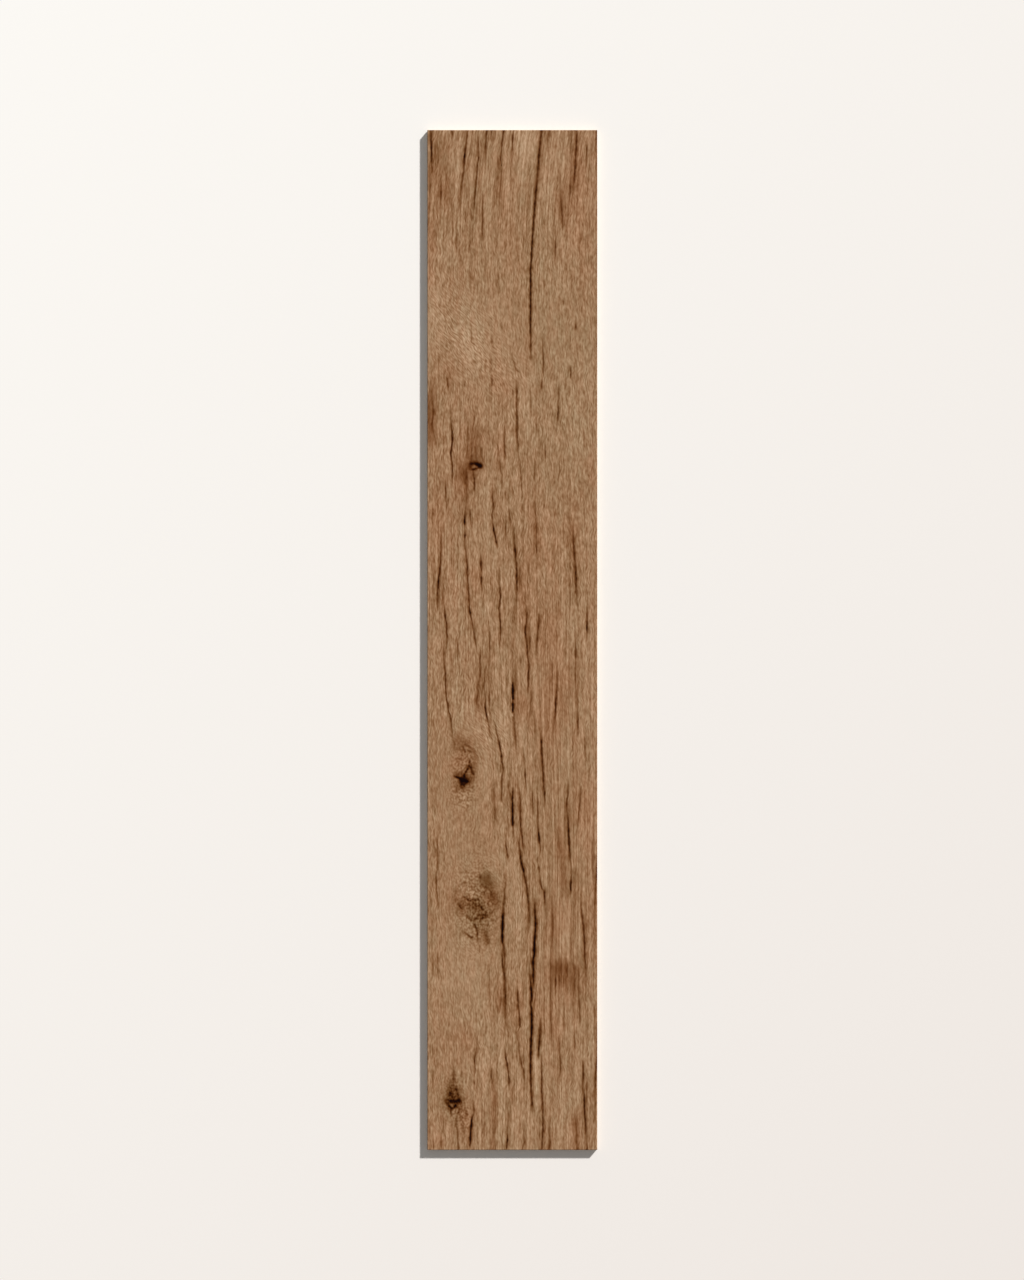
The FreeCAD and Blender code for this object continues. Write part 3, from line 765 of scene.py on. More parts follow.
# %% [markdown]
# ## The run of the grain
# Fibres flow round a knot as water flows round a stone. If the fine streaks were drawn straight, they
# would cut through the bent checks and give the print away. So each vertex also gets grain coordinates:
# how far across the plank its fibre started, and how far along it is. Fine noise that is drawn in those
# coordinates bends with them. Outside a knot the formula is that of a stream round a cylinder, and
# inside it the fibres close into rings.

# %% Grain coordinates
KNOT_FLOW = ((56, 395, 5, 0.45), (43, 752, 13, 0.5), (60, 915, 13, 0.45), (30, 1141, 6, 0.5))
LEAN_START = 11.0
LEAN_LENGTH = 170.0
RING_GAIN = 0.5


def grain_across(x, y):
    """Where across the plank the fibre through a point started, in millimetres."""
    start = x - LEAN_START * np.clip(1 - y / LEAN_LENGTH, 0, 1) ** 2
    for knot_x, knot_y, radius, squash in KNOT_FLOW:
        off = x - knot_x
        far = np.hypot(off, squash * (y - knot_y))
        pushed = off * (radius / np.maximum(far, radius)) ** 2
        start = start - pushed + RING_GAIN * np.maximum(radius - far, 0)
    return start


beside = grain_across(np.array([60.0]), np.array([752.0]))
print("a fibre beside the second knot started at", beside.round(1), "mm")

# %% [markdown]
# ## The face as a mesh
# A plain grid would need millions of squares before a split 2 mm wide had clean sides. A constrained
# triangulation does better: each check brings its own lines of vertices, along its middle and down both
# flanks, and an even lattice fills the wood between them. The lattice is long along the grain, where
# little changes, and finer round the knots. The triangulation runs in squeezed coordinates, so that it
# prefers long triangles.

# %% Points of the face
BEVEL = 0.6
LATTICE = (1.45, 4.2)
KNOT_LATTICE = (0.85, 1.25)
KNOT_WINDOWS = ((36, 68, 386, 414), (28, 62, 715, 781), (30, 84, 869, 958), (19, 50, 1104, 1166))
FLANKS = (-1.05, -0.5, 0.0, 0.5, 1.05)
RIM_GAP = 0.5
END_GAP = 1.0
FINE_STROKES = [stroke for stroke in CHECKS if stroke[0] <= WIDEST_CHECK]


def lattice(x0, x1, y0, y1, steps):
    """Staggered rows of points in a rectangle, set in by half a step."""
    rows = np.arange(y0 + steps[1] / 2, y1, steps[1])
    columns = np.arange(x0 + steps[0] / 2, x1, steps[0])
    x, y = np.meshgrid(columns, rows)
    x[1::2] += steps[0] / 2
    return np.column_stack((x.ravel(), y.ravel()))


def in_window(points, window):
    """True for the points inside a rectangle of x0, x1, y0, y1."""
    x0, x1, y0, y1 = window
    return (points[:, 0] > x0) & (points[:, 0] < x1) & (points[:, 1] > y0) & (points[:, 1] < y1)


def away_from_strokes(points):
    """The lattice points that no stroke's own lines come near."""
    clear = np.ones(len(points), bool)
    for stroke in FINE_STROKES:
        ends = stroke[1][[0, -1], 0] + (-END_GAP, END_GAP)
        near = np.flatnonzero((points[:, 1] > ends[0]) & (points[:, 1] < ends[1]))
        middle, spread, _ = stroke_line(stroke, points[near, 1])
        clear[near] &= np.abs(points[near, 0] - middle) > FLANKS[-1] * spread + RIM_GAP
    return points[clear]


inside = (BEVEL, WIDTH - BEVEL, BEVEL, LENGTH - BEVEL)
base = lattice(*inside, LATTICE)
for window in KNOT_WINDOWS:
    base = base[~in_window(base, window)]
finer = [lattice(*window, KNOT_LATTICE) for window in KNOT_WINDOWS]
base = away_from_strokes(np.vstack([base] + finer))
room = (inside[0] + RIM_GAP, inside[1] - RIM_GAP, inside[2] + RIM_GAP, inside[3] - RIM_GAP)
base = base[in_window(base, room)]
print(f"{len(base)} lattice points")

# %% Lines of the checks and the rim
STATION = 2.2
LEAST_STATIONS = 3
RIM_ACROSS, RIM_ALONG = 100, 300
SQUEEZE = 2.6
MERGE = 1e-4
points = [base]
edges = []


def add_line(line, closed=False):
    """Adds a run of points joined by edges."""
    count = sum(len(run) for run in points)
    last = len(line) if closed else len(line) - 1
    edges.extend((count + i, count + (i + 1) % len(line)) for i in range(last))
    points.append(line)


for stroke in FINE_STROKES:
    first, last = stroke[1][[0, -1], 0]
    y = np.linspace(first, last, max(LEAST_STATIONS, round((last - first) / STATION)))
    middle, spread, _ = stroke_line(stroke, y)
    for flank in FLANKS:
        line = np.column_stack((middle + flank * spread, y))
        kept = in_window(line, room)
        runs = np.split(np.arange(len(line)), np.flatnonzero(np.diff(kept)) + 1)
        for run in runs:
            if kept[run[0]] and len(run) > 1:
                add_line(line[run])
rim_x = np.linspace(inside[0], inside[1], RIM_ACROSS + 1)
rim_y = np.linspace(inside[2], inside[3], RIM_ALONG + 1)
rim = np.vstack((
    np.column_stack((rim_x[:-1], np.full(RIM_ACROSS, inside[2]))),
    np.column_stack((np.full(RIM_ALONG, inside[1]), rim_y[:-1])),
    np.column_stack((rim_x[:0:-1], np.full(RIM_ACROSS, inside[3]))),
    np.column_stack((np.full(RIM_ALONG, inside[0]), rim_y[:0:-1]))))
add_line(rim, closed=True)
squeezed = [Vector((x, y / SQUEEZE)) for x, y in np.vstack(points)]
made = delaunay_2d_cdt(squeezed, edges, [], 0, MERGE)
flat = np.array([(v.x, v.y * SQUEEZE) for v in made[0]])
triangles = np.array(made[2])
print(f"face: {len(flat)} vertices, {len(triangles)} triangles")

# %% [markdown]
# ## The relief of the face
# The press leaves the checks and knots a few tenths of a millimetre deep, and the wood between them is
# brushed: its soft bands lie a little lower. The relief only goes down from the top of the solid, and
# it fades out at the rim, where the bevel is ground.

# %% Depth of every vertex
CHECK_DEPTH = 0.3
CHECK_SHOWS = 28.0
CHECK_FULL = 110.0
BRUSH_DEPTH = 0.05
BRUSH_ACROSS, BRUSH_ALONG, BRUSH_SLICE = 4.5, 55.0, 0.5
RIM_FADE = 1.2

x, y = flat.T
brush_at = zip(grain_across(x, y) / BRUSH_ACROSS, y / BRUSH_ALONG)
brushed = np.array([noise.noise(Vector((u, v, BRUSH_SLICE))) for u, v in brush_at])
sunk = np.clip((darkness(x, y) - CHECK_SHOWS) / (CHECK_FULL - CHECK_SHOWS), 0, 1)
depth = CHECK_DEPTH * sunk * (2 - sunk) + BRUSH_DEPTH * (0.5 + 0.5 * brushed) * (1 - sunk)
to_rim = np.minimum.reduce((x - inside[0], inside[1] - x, y - inside[2], inside[3] - y))
depth *= np.clip(to_rim / RIM_FADE, 0, 1)
print(f"relief from {depth.min():.2f} to {depth.max():.2f} mm deep")

# %% [markdown]
# ## One closed piece
# The back with its pockets is right as it was modelled, so those faces are copied from the solid. The
# sides and the bevel are made anew, because the bevel has to share every vertex of the finely divided
# rim. Each side is a single many-cornered face: it is flat, so it needs no more.

# %% Copy the back from the solid
SIDE_FOOT = 1.2
FOOT_SLACK = 0.01
SAME_PLACE = 1e-6
back = bmesh.new()
back.from_mesh(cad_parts[NODE].data)
bmesh.ops.remove_doubles(back, verts=back.verts, dist=SAME_PLACE)
above = [f for f in back.faces if f.calc_center_median().z > (SIDE_FOOT + FOOT_SLACK) * MM]
bmesh.ops.delete(back, geom=above, context="FACES")
foot = {}
for vert in back.verts:
    if abs(vert.co.z - SIDE_FOOT * MM) < SAME_PLACE:
        foot[(vert.co.x > 0, vert.co.y > 0)] = vert
print(f"back: {len(back.faces)} faces, {len(foot)} corners at the foot of the sides")

# %% Join face, bevel and sides to it
FACE, EDGE, BACK = 0, 1, 2
SIDE_HEAD = TOP - BEVEL


def to_frame(x, y, z):
    """A point measured on the face, in the frame of the solid."""
    return ((x - WIDTH / 2) * MM, (LENGTH / 2 - y) * MM, z * MM)


for face in back.faces:
    face.material_index = BACK
    face.smooth = False
top_verts = [back.verts.new(to_frame(px, py, TOP - pz)) for px, py, pz in zip(x, y, depth)]
for a, b, c in triangles:
    face = back.faces.new((top_verts[a], top_verts[b], top_verts[c]))
    face.material_index = FACE
    face.smooth = True
nearest = {(round(px, 3), round(py, 3)): i for i, (px, py) in enumerate(flat)}
rim_index = [nearest[(round(px, 3), round(py, 3))] for px, py in rim]
middle = np.array((WIDTH / 2, LENGTH / 2))
growth = (WIDTH / (inside[1] - inside[0]), LENGTH / (inside[3] - inside[2]))
outer = (rim - middle) * growth + middle
bevel_verts = [back.verts.new(to_frame(px, py, SIDE_HEAD)) for px, py in outer]
size = len(rim)
for i in range(size):
    j = (i + 1) % size
    face = back.faces.new((top_verts[rim_index[i]], top_verts[rim_index[j]], bevel_verts[j], bevel_verts[i]))
    face.material_index = FACE
corners = (0, RIM_ACROSS, RIM_ACROSS + RIM_ALONG, 2 * RIM_ACROSS + RIM_ALONG, size)
for start, end in zip(corners[:-1], corners[1:]):
    run = [bevel_verts[i % size] for i in range(start, end + 1)]
    feet = [foot[(v.co.x > 0, v.co.y > 0)] for v in (run[-1], run[0])]
    face = back.faces.new(run + feet)
    face.material_index = EDGE
bmesh.ops.recalc_face_normals(back, faces=back.faces)
open_edges = sum(1 for e in back.edges if not e.is_manifold)
mesh = bpy.data.meshes.new("wood_plank")
back.to_mesh(mesh)
back.free()
print(f"piece: {len(mesh.vertices)} vertices, {len(mesh.polygons)} faces, {open_edges} open edges")

# %% [markdown]
# ## Attributes that the finish reads
# A material can't ask a Python function, so the fields are stored on the vertices. The back and the
# sides don't use them.

# %% Store the fields on the vertices
GREY = 255.0
ZONE_GAIN = 1.35
AMOUNT, TURN_TO_RED = 4, 5
STREAKY_MIDDLE, STREAKY_MOST = 0.5, 1.2
place = np.empty(len(mesh.vertices) * 3, np.float32)
mesh.vertices.foreach_get("co", place)
place = place.reshape(-1, 3) / MM
face_x = place[:, 0].astype(float) + WIDTH / 2
face_y = LENGTH / 2 - place[:, 1].astype(float)


def store(name, values, kind="FLOAT"):
    """Stores one value or vector for every vertex under a name."""
    field = "vector" if kind == "FLOAT_VECTOR" else "value"
    mesh.attributes.new(name, kind, "POINT").data.foreach_set(field, np.asarray(values, np.float32).ravel())


def patches(rows, column=AMOUNT):
    """The sum of a table of soft ellipses at every vertex."""
    return zone_sum(rows, column, face_x, face_y)


grain = np.column_stack((grain_across(face_x, face_y), face_y, np.zeros_like(face_x)))
store("grain", grain, "FLOAT_VECTOR")
store("dark", darkness(face_x, face_y) / GREY)
store("tone", ZONE_GAIN * patches(ZONES) / GREY)
store("red", patches(ZONES, TURN_TO_RED))
store("curl", np.clip(patches(CURL), 0, 1))
store("knotty", np.clip(patches(KNOTTY), 0, 1))
store("streaky", np.clip(STREAKY_MIDDLE + patches(STREAKY), 0, STREAKY_MOST))
print("attributes:", [a.name for a in mesh.attributes if a.domain == "POINT"])

# %% [markdown]
# ## A map for the bake
# The piece brings its own map, so that its colours can go into one square picture. The face gets
# most of the square, because everything that one looks at is there. The back and the thin sides share
# what is left.

# %% Unwrap the piece
FACE_SHARE = 0.77
BACK_LEFT, BACK_RIGHT = 0.79, 0.94
SIDE_COLUMNS = ((0.95, 0.968), (0.978, 0.996))
LONG_SHARE = 0.84
SHORT_GAP = 0.02
MARGIN = 0.003
FACING = 0.9

loop_vert = np.empty(len(mesh.loops), np.int32)
mesh.loops.foreach_get("vertex_index", loop_vert)
loop_face = np.repeat(np.arange(len(mesh.polygons)), [p.loop_total for p in mesh.polygons])
slots_of = np.array([p.material_index for p in mesh.polygons])[loop_face]
normals = np.array([p.normal for p in mesh.polygons])[loop_face]
across = face_x[loop_vert] / WIDTH
along = 1 - face_y[loop_vert] / LENGTH
height = place[loop_vert, 2] / TOP
uv = np.column_stack((MARGIN + (FACE_SHARE - 2 * MARGIN) * across, MARGIN + (1 - 2 * MARGIN) * along))
on_back = slots_of == BACK
uv[on_back, 0] = (BACK_LEFT + (BACK_RIGHT - BACK_LEFT) * across)[on_back]
long_along = MARGIN + (LONG_SHARE - MARGIN) * along
short_along = LONG_SHARE + SHORT_GAP + (1 - SHORT_GAP - LONG_SHARE - MARGIN) * across
for column, sign in zip(SIDE_COLUMNS, (-1, 1)):
    strip = column[0] + (column[1] - column[0]) * height
    for axis, run in enumerate((long_along, short_along)):
        side = (slots_of == EDGE) & (normals[:, axis] * sign > FACING)
        uv[side] = np.column_stack((strip, run))[side]
mesh.uv_layers.new(name="OFBake").data.foreach_set("uv", uv.astype(np.float32).ravel())
print(f"map: {len(uv)} corners, from {uv.min():.3f} to {uv.max():.3f}")

# %% [markdown]
# ## Shader maths in plain Python
# A finish is a sum of small effects, and wiring a node for each plus and times hides the idea. The
# class below wraps a socket, so that `1 - mask * 0.5` adds the Math nodes by itself. Every other node
# comes from one method: its type, its settings, and the values or links of its sockets.

# %% Wires
class Wire:
    """An output socket that can be added, subtracted and multiplied."""

    def __init__(self, board, socket):
        self.board = board
        self.socket = socket

    def sum_with(self, operation, first, second):
        return self.board.node("ShaderNodeMath", {"operation": operation}, {0: first, 1: second})

    def __add__(self, other):
        return self.sum_with("ADD", self, other)

    def __radd__(self, other):
        return self.sum_with("ADD", other, self)

    def __sub__(self, other):
        return self.sum_with("SUBTRACT", self, other)

    def __rsub__(self, other):
        return self.sum_with("SUBTRACT", other, self)

    def __mul__(self, other):
        return self.sum_with("MULTIPLY", self, other)

    def __rmul__(self, other):
        return self.sum_with("MULTIPLY", other, self)

    def clamped(self):
        """The value kept between 0 and 1."""
        return self.board.node("ShaderNodeClamp", {}, {0: self, 1: 0.0, 2: 1.0})


print("after a number, a wire uses", [name for name in vars(Wire) if name.startswith("__r")])

# %% Boards
class Board:
    """The nodes of one material or world."""

    def __init__(self, owner):
        owner.use_nodes = True
        self.tree = owner.node_tree
        self.tree.nodes.clear()

    def node(self, kind, settings, sockets, output=0):
        """Adds a node, sets it, fills its sockets and returns one output as a wire."""
        made = self.tree.nodes.new(kind)
        for name, value in settings.items():
            if name == "stops":
                self.set_stops(made.color_ramp, value)
            else:
                setattr(made, name, value)
        for name, value in sockets.items():
            if isinstance(value, Wire):
                self.tree.links.new(value.socket, made.inputs[name])
            else:
                made.inputs[name].default_value = value
        return Wire(self, made.outputs[output]) if len(made.outputs) else made

    def set_stops(self, ramp, stops):
        """Gives a colour ramp its stops, as places and colours."""
        while len(ramp.elements) < len(stops):
            ramp.elements.new(1.0)
        for element, (place, colour) in zip(ramp.elements, stops):
            element.position = place
            element.color = colour

    def field(self, name, output="Fac"):
        """One of the values stored on the vertices."""
        return self.node("ShaderNodeAttribute", {"attribute_name": name}, {}, output)

    def stretched(self, vector, steps, detail, seed):
        """Noise about zero whose lumps measure about the steps along the vector's axes."""
        scaled = self.node("ShaderNodeVectorMath", {"operation": "MULTIPLY"},
                           {0: vector, 1: [1 / step for step in steps]})
        moved = self.node("ShaderNodeVectorMath", {"operation": "ADD"}, {0: scaled, 1: (seed, seed, seed)})
        settings = {"noise_dimensions": "3D", "normalize": True}
        sockets = {"Vector": moved, "Scale": 1.0, "Detail": detail, "Roughness": 0.5}
        return self.node("ShaderNodeTexNoise", settings, sockets) - 0.5

    def place_in_mm(self, axes=(1, 1, 1)):
        """The place on the object in millimetres, along the axes that count."""
        at = self.node("ShaderNodeTexCoord", {}, {}, "Object")
        scale = [axis / MM for axis in axes]
        return self.node("ShaderNodeVectorMath", {"operation": "MULTIPLY"}, {0: at, 1: scale})

    def height_of(self, place):
        """The upright part of a place."""
        return self.node("ShaderNodeSeparateXYZ", {}, {0: place}, 2)

    def surface(self, colour, roughness, specular, relief, strength, depth):
        """Adds the surface of a material, with a fine relief whose depth is in millimetres."""
        normal = self.node("ShaderNodeBump", {},
                           {"Strength": strength, "Distance": depth * MM, "Height": relief})
        shader = self.node("ShaderNodeBsdfPrincipled", {}, {
            "Base Color": colour, "Roughness": roughness, "Specular IOR Level": specular, "Normal": normal})
        self.node("ShaderNodeOutputMaterial", {}, {"Surface": shader})

    def mix(self, factor, first, second, blend="MIX"):
        """A mix of two colours."""
        settings = {"data_type": "RGBA", "blend_type": blend, "clamp_factor": True}
        return self.node("ShaderNodeMix", settings, {0: factor, 6: first, 7: second}, 2)


def linear(red, green, blue):
    """A colour picked on screen, from 0 to 255, as the linear light that shaders use."""
    def channel(value):
        value = value / 255
        return value / 12.92 if value <= 0.04045 else ((value + 0.055) / 1.055) ** 2.4
    return (channel(red), channel(green), channel(blue), 1.0)


print("mid wood in linear light:", [round(c, 3) for c in linear(155, 119, 87)[:3]])

# %% [markdown]
# ## The matt wood glaze
# The inks of the print move together: wood that is darker by ten grey levels is darker by nine or ten
# in red, green and blue alike, and below a dark brown all three fade to black. So one tone drives one
# colour ramp, and a rule gives its stops. The tone is the sum of the broad zones, streaks of several
# sizes drawn along the grain, and the dark strokes. The glaze is matt, and rougher in the open pores.

# %% Fine grain
CURL_TURN = math.radians(38)
WANDER = 5.0
face_glaze = bpy.data.materials.new("matt_wood_glaze")
board = Board(face_glaze)
grain_at = board.field("grain", "Vector")
wander = board.stretched(grain_at, (13.0, 15.0, 1.0), detail=0.0, seed=1.7)
sideways = board.node("ShaderNodeCombineXYZ", {}, {0: wander * WANDER})
bent_at = board.node("ShaderNodeVectorMath", {"operation": "ADD"}, {0: grain_at, 1: sideways})
turn = {"Vector": bent_at, "Angle": CURL_TURN}
turned_at = board.node("ShaderNodeVectorRotate", {"rotation_type": "Z_AXIS"}, turn)
bands = board.stretched(grain_at, (7.0, 150.0, 1.0), detail=1.0, seed=3.1)
streaks = board.stretched(grain_at, (1.7, 75.0, 1.0), detail=0.0, seed=7.7)
dashes = board.stretched(bent_at, (1.4, 9.0, 1.0), detail=0.0, seed=11.3)
grit = board.stretched(bent_at, (1.4, 4.2, 1.0), detail=0.0, seed=13.9)
flecks = board.stretched(turned_at, (1.5, 6.0, 1.0), detail=0.0, seed=17.9)
mottle = board.stretched(board.place_in_mm((1, 1, 0)), (2.2, 2.8, 1.0), detail=0.0, seed=29.3)
print("fine grain:", len(board.tree.nodes), "nodes")

# %% Tone of the wood
MID_GREY = 127.0
BAND_TONE, STREAK_TONE = 0.12, 0.25
DASH_TONE, GRIT_TONE = 0.3, 0.18
QUIET_LOSS = 1.1
CURL_LOSS, CURL_TONE, LEAST_CURL = 0.6, 0.36, 0.05
MOTTLE_TONE = 0.52
WOOD_FADE, KNOT_FADE = 2.2, 1.2
dark_at = board.field("dark")
curl_at = board.field("curl")
knotty_at = board.field("knotty")
streaky_at = board.field("streaky")
off_middle = streaky_at - STREAKY_MIDDLE
quiet = 1 - off_middle * off_middle * QUIET_LOSS
long_grain = bands * (streaky_at * BAND_TONE) + streaks * (streaky_at * STREAK_TONE)
short_grain = (dashes * DASH_TONE + grit * GRIT_TONE) * quiet
along_grain = (long_grain + short_grain) * ((1 - curl_at * CURL_LOSS) * (1 - knotty_at))
curly_grain = flecks * (curl_at * CURL_TONE + LEAST_CURL) * (1 - knotty_at)
open_wood = 1 - (dark_at * WOOD_FADE).clamped()
open_knot = 1 - (dark_at * KNOT_FADE).clamped()
texture = (along_grain + curly_grain) * open_wood + mottle * (knotty_at * MOTTLE_TONE) * open_knot
tone = board.field("tone") + texture + MID_GREY / GREY - dark_at
print("tone of the wood:", len(board.tree.nodes), "nodes")

# %% Colour of the wood
TONE_SPAN = 180.0
BLACKEST, PALEST, STOP_STEP = 4, 172, 24
MID_WOOD = (155, 119, 87)
INK_SLOPES = (0.92, 0.99, 1.0)
FADE_BELOW = 55.0
OLIVE = (0.948, 1.012, 1.012, 1.0)
RED = (1.056, 0.977, 0.962, 1.0)
HALF_RED = 0.5
ZONE_RED, DRIFT_RED, BLUSH_RED = 0.45, 0.6, 0.95


def wood_colour(grey):
    """The printed colour at a grey level, as linear light."""
    fade = min(1.0, math.sqrt(grey / FADE_BELOW))
    inks = [mid + slope * (grey - MID_GREY) for mid, slope in zip(MID_WOOD, INK_SLOPES)]
    return linear(*[fade * max(0.0, ink) for ink in inks])


stops = [(grey / TONE_SPAN, wood_colour(grey)) for grey in range(BLACKEST, PALEST + 1, STOP_STEP)]
printed = board.node("ShaderNodeValToRGB", {"stops": stops}, {0: tone * (GREY / TONE_SPAN)})
drift = board.stretched(grain_at, (14.0, 110.0, 1.0), detail=2.0, seed=23.5)
blush = board.stretched(grain_at, (6.0, 18.0, 1.0), detail=1.0, seed=31.7)
redness = board.field("red") * ZONE_RED + drift * DRIFT_RED + blush * BLUSH_RED + HALF_RED
tint = board.mix(redness.clamped(), OLIVE, RED)
printed = board.mix(1.0, printed, tint, "MULTIPLY")
print("colour of the wood:", len(stops), "stops")

# %% Body under the bevel, roughness and fine relief
BODY = linear(176, 156, 132)
GLAZE_FOOT = TOP - 0.55
GLAZE_EDGE = 12.0
GLAZE_ROUGH, DASH_ROUGH, DARK_ROUGH = 0.58, 0.25, 0.4
STREAK_RELIEF, DASH_RELIEF, FLECK_RELIEF = 0.5, 0.8, 0.3
height_at = board.height_of(board.place_in_mm())
bare = ((GLAZE_FOOT - height_at) * GLAZE_EDGE).clamped()
board.surface(
    colour=board.mix(bare, printed, BODY),
    roughness=(GLAZE_ROUGH + dashes * DASH_ROUGH + dark_at * DARK_ROUGH).clamped(),
    specular=0.04,
    relief=streaks * STREAK_RELIEF + dashes * DASH_RELIEF + flecks * FLECK_RELIEF,
    strength=0.35,
    depth=0.12)
print("glaze:", len(board.tree.nodes), "nodes")

# %% [markdown]
# ## The ground edge
# A rectified plank is ground to size after firing. The wheel runs along the edge, so it leaves fine
# lines in that direction on the bare body, which is a warm grey-beige stoneware with darker and paler
# grains in it.

# %% Bare body with grinding lines
EDGE_DARK, EDGE_PALE = linear(150, 131, 110), linear(200, 183, 160)
EDGE_SHADE, LINE_SHADE, GRAIN_SHADE, CLOUD_SHADE = 0.5, 0.5, 0.7, 0.5
EDGE_ROUGH, GRAIN_ROUGH = 0.72, 0.3
ground_edge = bpy.data.materials.new("ground_edge")
board = Board(ground_edge)
in_mm = board.place_in_mm()
lines = board.stretched(in_mm, (60.0, 60.0, 0.35), detail=3.0, seed=2.2)
grains = board.stretched(in_mm, (0.9, 0.9, 0.9), detail=2.0, seed=5.5)
cloud = board.stretched(in_mm, (45.0, 45.0, 20.0), detail=2.0, seed=9.1)
shade = EDGE_SHADE + lines * LINE_SHADE + grains * GRAIN_SHADE + cloud * CLOUD_SHADE
board.surface(
    colour=board.mix(shade.clamped(), EDGE_DARK, EDGE_PALE),
    roughness=(EDGE_ROUGH + grains * GRAIN_ROUGH).clamped(),
    specular=0.25,
    relief=lines + grains,
    strength=0.5,
    depth=0.05)
print("ground edge:", len(board.tree.nodes), "nodes")

# %% [markdown]
# ## The back
# The back goes through the kiln on rollers, so it is painted with a thin white wash that keeps it from
# sticking. The wash is patchy, and the ribs, which touch the rollers, are rubbed nearly bare.

# %% Kiln wash on the back
BACK_BODY, WASH = linear(158, 138, 115), linear(214, 204, 188)
WASH_SHARE, PATCH_WASH, GRAIN_WASH, RUB_WASH, POCKET_WASH = 0.42, 1.6, 0.5, 0.9, 0.3
POCKET_RISE = 2.0
BACK_ROUGH, GRAIN_ROUGH = 0.82, 0.2
RUB_RELIEF = 0.4
keyed_back = bpy.data.materials.new("kiln_washed_back")
board = Board(keyed_back)
in_mm = board.place_in_mm()
patchy = board.stretched(in_mm, (30.0, 70.0, 30.0), detail=3.0, seed=4.4)
grains = board.stretched(in_mm, (1.1, 1.1, 1.1), detail=2.0, seed=6.1)
rub = board.stretched(in_mm, (5.0, 26.0, 5.0), detail=2.0, seed=8.8)
in_pocket = (board.height_of(in_mm) * POCKET_RISE).clamped()
wash = WASH_SHARE + patchy * PATCH_WASH + grains * GRAIN_WASH + rub * RUB_WASH + in_pocket * POCKET_WASH
board.surface(
    colour=board.mix(wash.clamped(), BACK_BODY, WASH),
    roughness=(BACK_ROUGH + grains * GRAIN_ROUGH).clamped(),
    specular=0.2,
    relief=grains + rub * RUB_RELIEF,
    strength=0.5,
    depth=0.08)
print("back:", len(board.tree.nodes), "nodes")

# %% [markdown]
# ## One piece for one tile
# The tile is fired in one, so one object carries all three finishes. It rides on the body of the solid,
# and it is shown in the solid's place.

# %% Make the piece
for material in (face_glaze, ground_edge, keyed_back):
    mesh.materials.append(material)
plank = bpy.data.objects.new("wood_plank", mesh)
bpy.context.scene.collection.objects.link(plank)
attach(plank, "root")
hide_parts(NODE)
print("the plank replaces", NODE)

# %% [markdown]
# ## Floor, light and camera
# The plank lies on a pale floor whose colour carries a painted falloff of light: brighter and cooler at
# the top left, darker and warmer at the bottom right. One sun from the upper right throws the short
# shadow, and an even grey sky fills it. The two add up to one on a level surface, so that a colour
# renders about as it is written. The camera looks straight down through a long lens.

# %% Floor with a painted falloff of light
FLOOR_HALF = 30.0
FADE_HALF = 0.98
DOWNHILL = (0.62, -0.78, 0.0)
# Painted falloff of light: the floor's colour is brighter and cooler at the top left, darker and warmer at
# the bottom right
COOL_PAINTED_LIGHT, WARM_PAINTED_SHADE = linear(252, 249, 244), linear(238, 231, 225)
floor_mesh = bpy.data.meshes.new("floor")
corners = [(x * FLOOR_HALF, y * FLOOR_HALF, 0) for x, y in ((-1, -1), (1, -1), (1, 1), (-1, 1))]
floor_mesh.from_pydata(corners, [], [(0, 1, 2, 3)])
floor = bpy.data.objects.new("floor", floor_mesh)
bpy.context.scene.collection.objects.link(floor)
painted_falloff_floor = bpy.data.materials.new("floor_with_painted_falloff")
board = Board(painted_falloff_floor)
at = board.node("ShaderNodeTexCoord", {}, {}, "Object")
downhill = board.node("ShaderNodeVectorMath", {"operation": "DOT_PRODUCT"}, {0: at, 1: DOWNHILL}, 1)
fade = (downhill * (0.5 / FADE_HALF) + 0.5).clamped()
# The floor colour fades from the painted light end to the painted shade end
pale = board.mix(fade, COOL_PAINTED_LIGHT, WARM_PAINTED_SHADE)
matt = board.node("ShaderNodeBsdfDiffuse", {}, {"Color": pale})
board.node("ShaderNodeOutputMaterial", {}, {"Surface": matt})
floor_mesh.materials.append(painted_falloff_floor)
print("floor: a plane of", 2 * FLOOR_HALF, "m")

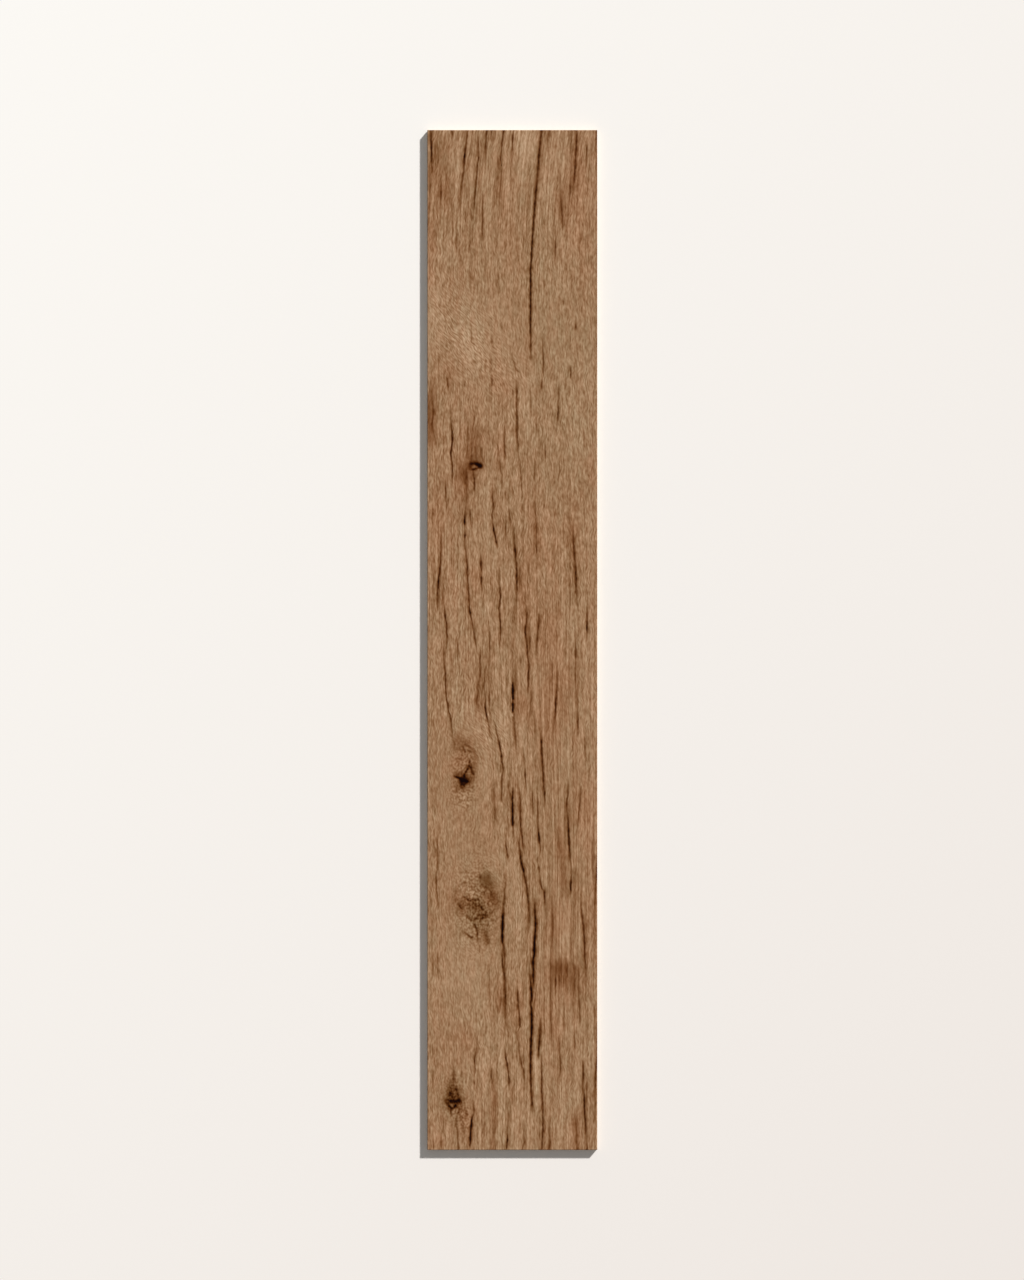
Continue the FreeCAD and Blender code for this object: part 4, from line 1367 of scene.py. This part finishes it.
# %% Sun and sky
SHADOW_REACH = Vector((-9.5, -11.4, -TOP))
SKY_SHARE = 0.26
SUN_ANGLE_DEG = 4.0
WHITE = (1.0, 1.0, 1.0, 1.0)
BACKDROP = linear(246, 242, 237)
sun_data = bpy.data.lights.new("sun", "SUN")
sun_data.angle = math.radians(SUN_ANGLE_DEG)
sun_down = -SHADOW_REACH.normalized().z
sun_data.energy = math.pi * (1 - SKY_SHARE) / sun_down
sun = bpy.data.objects.new("sun", sun_data)
sun.rotation_euler = SHADOW_REACH.to_track_quat("-Z", "Y").to_euler()
bpy.context.scene.collection.objects.link(sun)
sky = bpy.data.worlds.new("even_sky")
bpy.context.scene.world = sky
board = Board(sky)
camera_ray = board.node("ShaderNodeLightPath", {}, {}, "Is Camera Ray")
glossy_ray = board.node("ShaderNodeLightPath", {}, {}, "Is Glossy Ray")
through_ray = board.node("ShaderNodeLightPath", {}, {}, "Is Transmission Ray")
seen = (camera_ray + glossy_ray + through_ray).clamped()
strength = seen * (1 - SKY_SHARE) + SKY_SHARE
backdrop = board.mix(seen, WHITE, BACKDROP)
light = board.node("ShaderNodeBackground", {}, {"Color": backdrop, "Strength": strength})
board.node("ShaderNodeOutputWorld", {}, {"Surface": light})
print(f"sun of {sun_data.energy:.2f}, {math.degrees(math.asin(sun_down)):.0f} degrees up")

# %% Camera
LENS = 135.0
SENSOR = 36.0
PHOTO_HEIGHT, PIXELS_IN_MM = 1280, 0.85
FRAME_HEIGHT = PHOTO_HEIGHT / PIXELS_IN_MM * MM
CAMERA_LEFT = 0.3 * MM
camera_data = bpy.data.cameras.new("camera")
camera_data.lens = LENS
camera_data.sensor_width = SENSOR
camera = bpy.data.objects.new("camera", camera_data)
camera.location = (-CAMERA_LEFT, 0, TOP * MM + FRAME_HEIGHT * LENS / SENSOR)
bpy.context.scene.collection.objects.link(camera)
bpy.context.scene.camera = camera
bpy.context.scene.view_settings.view_transform = "Standard"
print(f"camera {camera.location.z:.2f} m above the floor")

# %% [markdown]
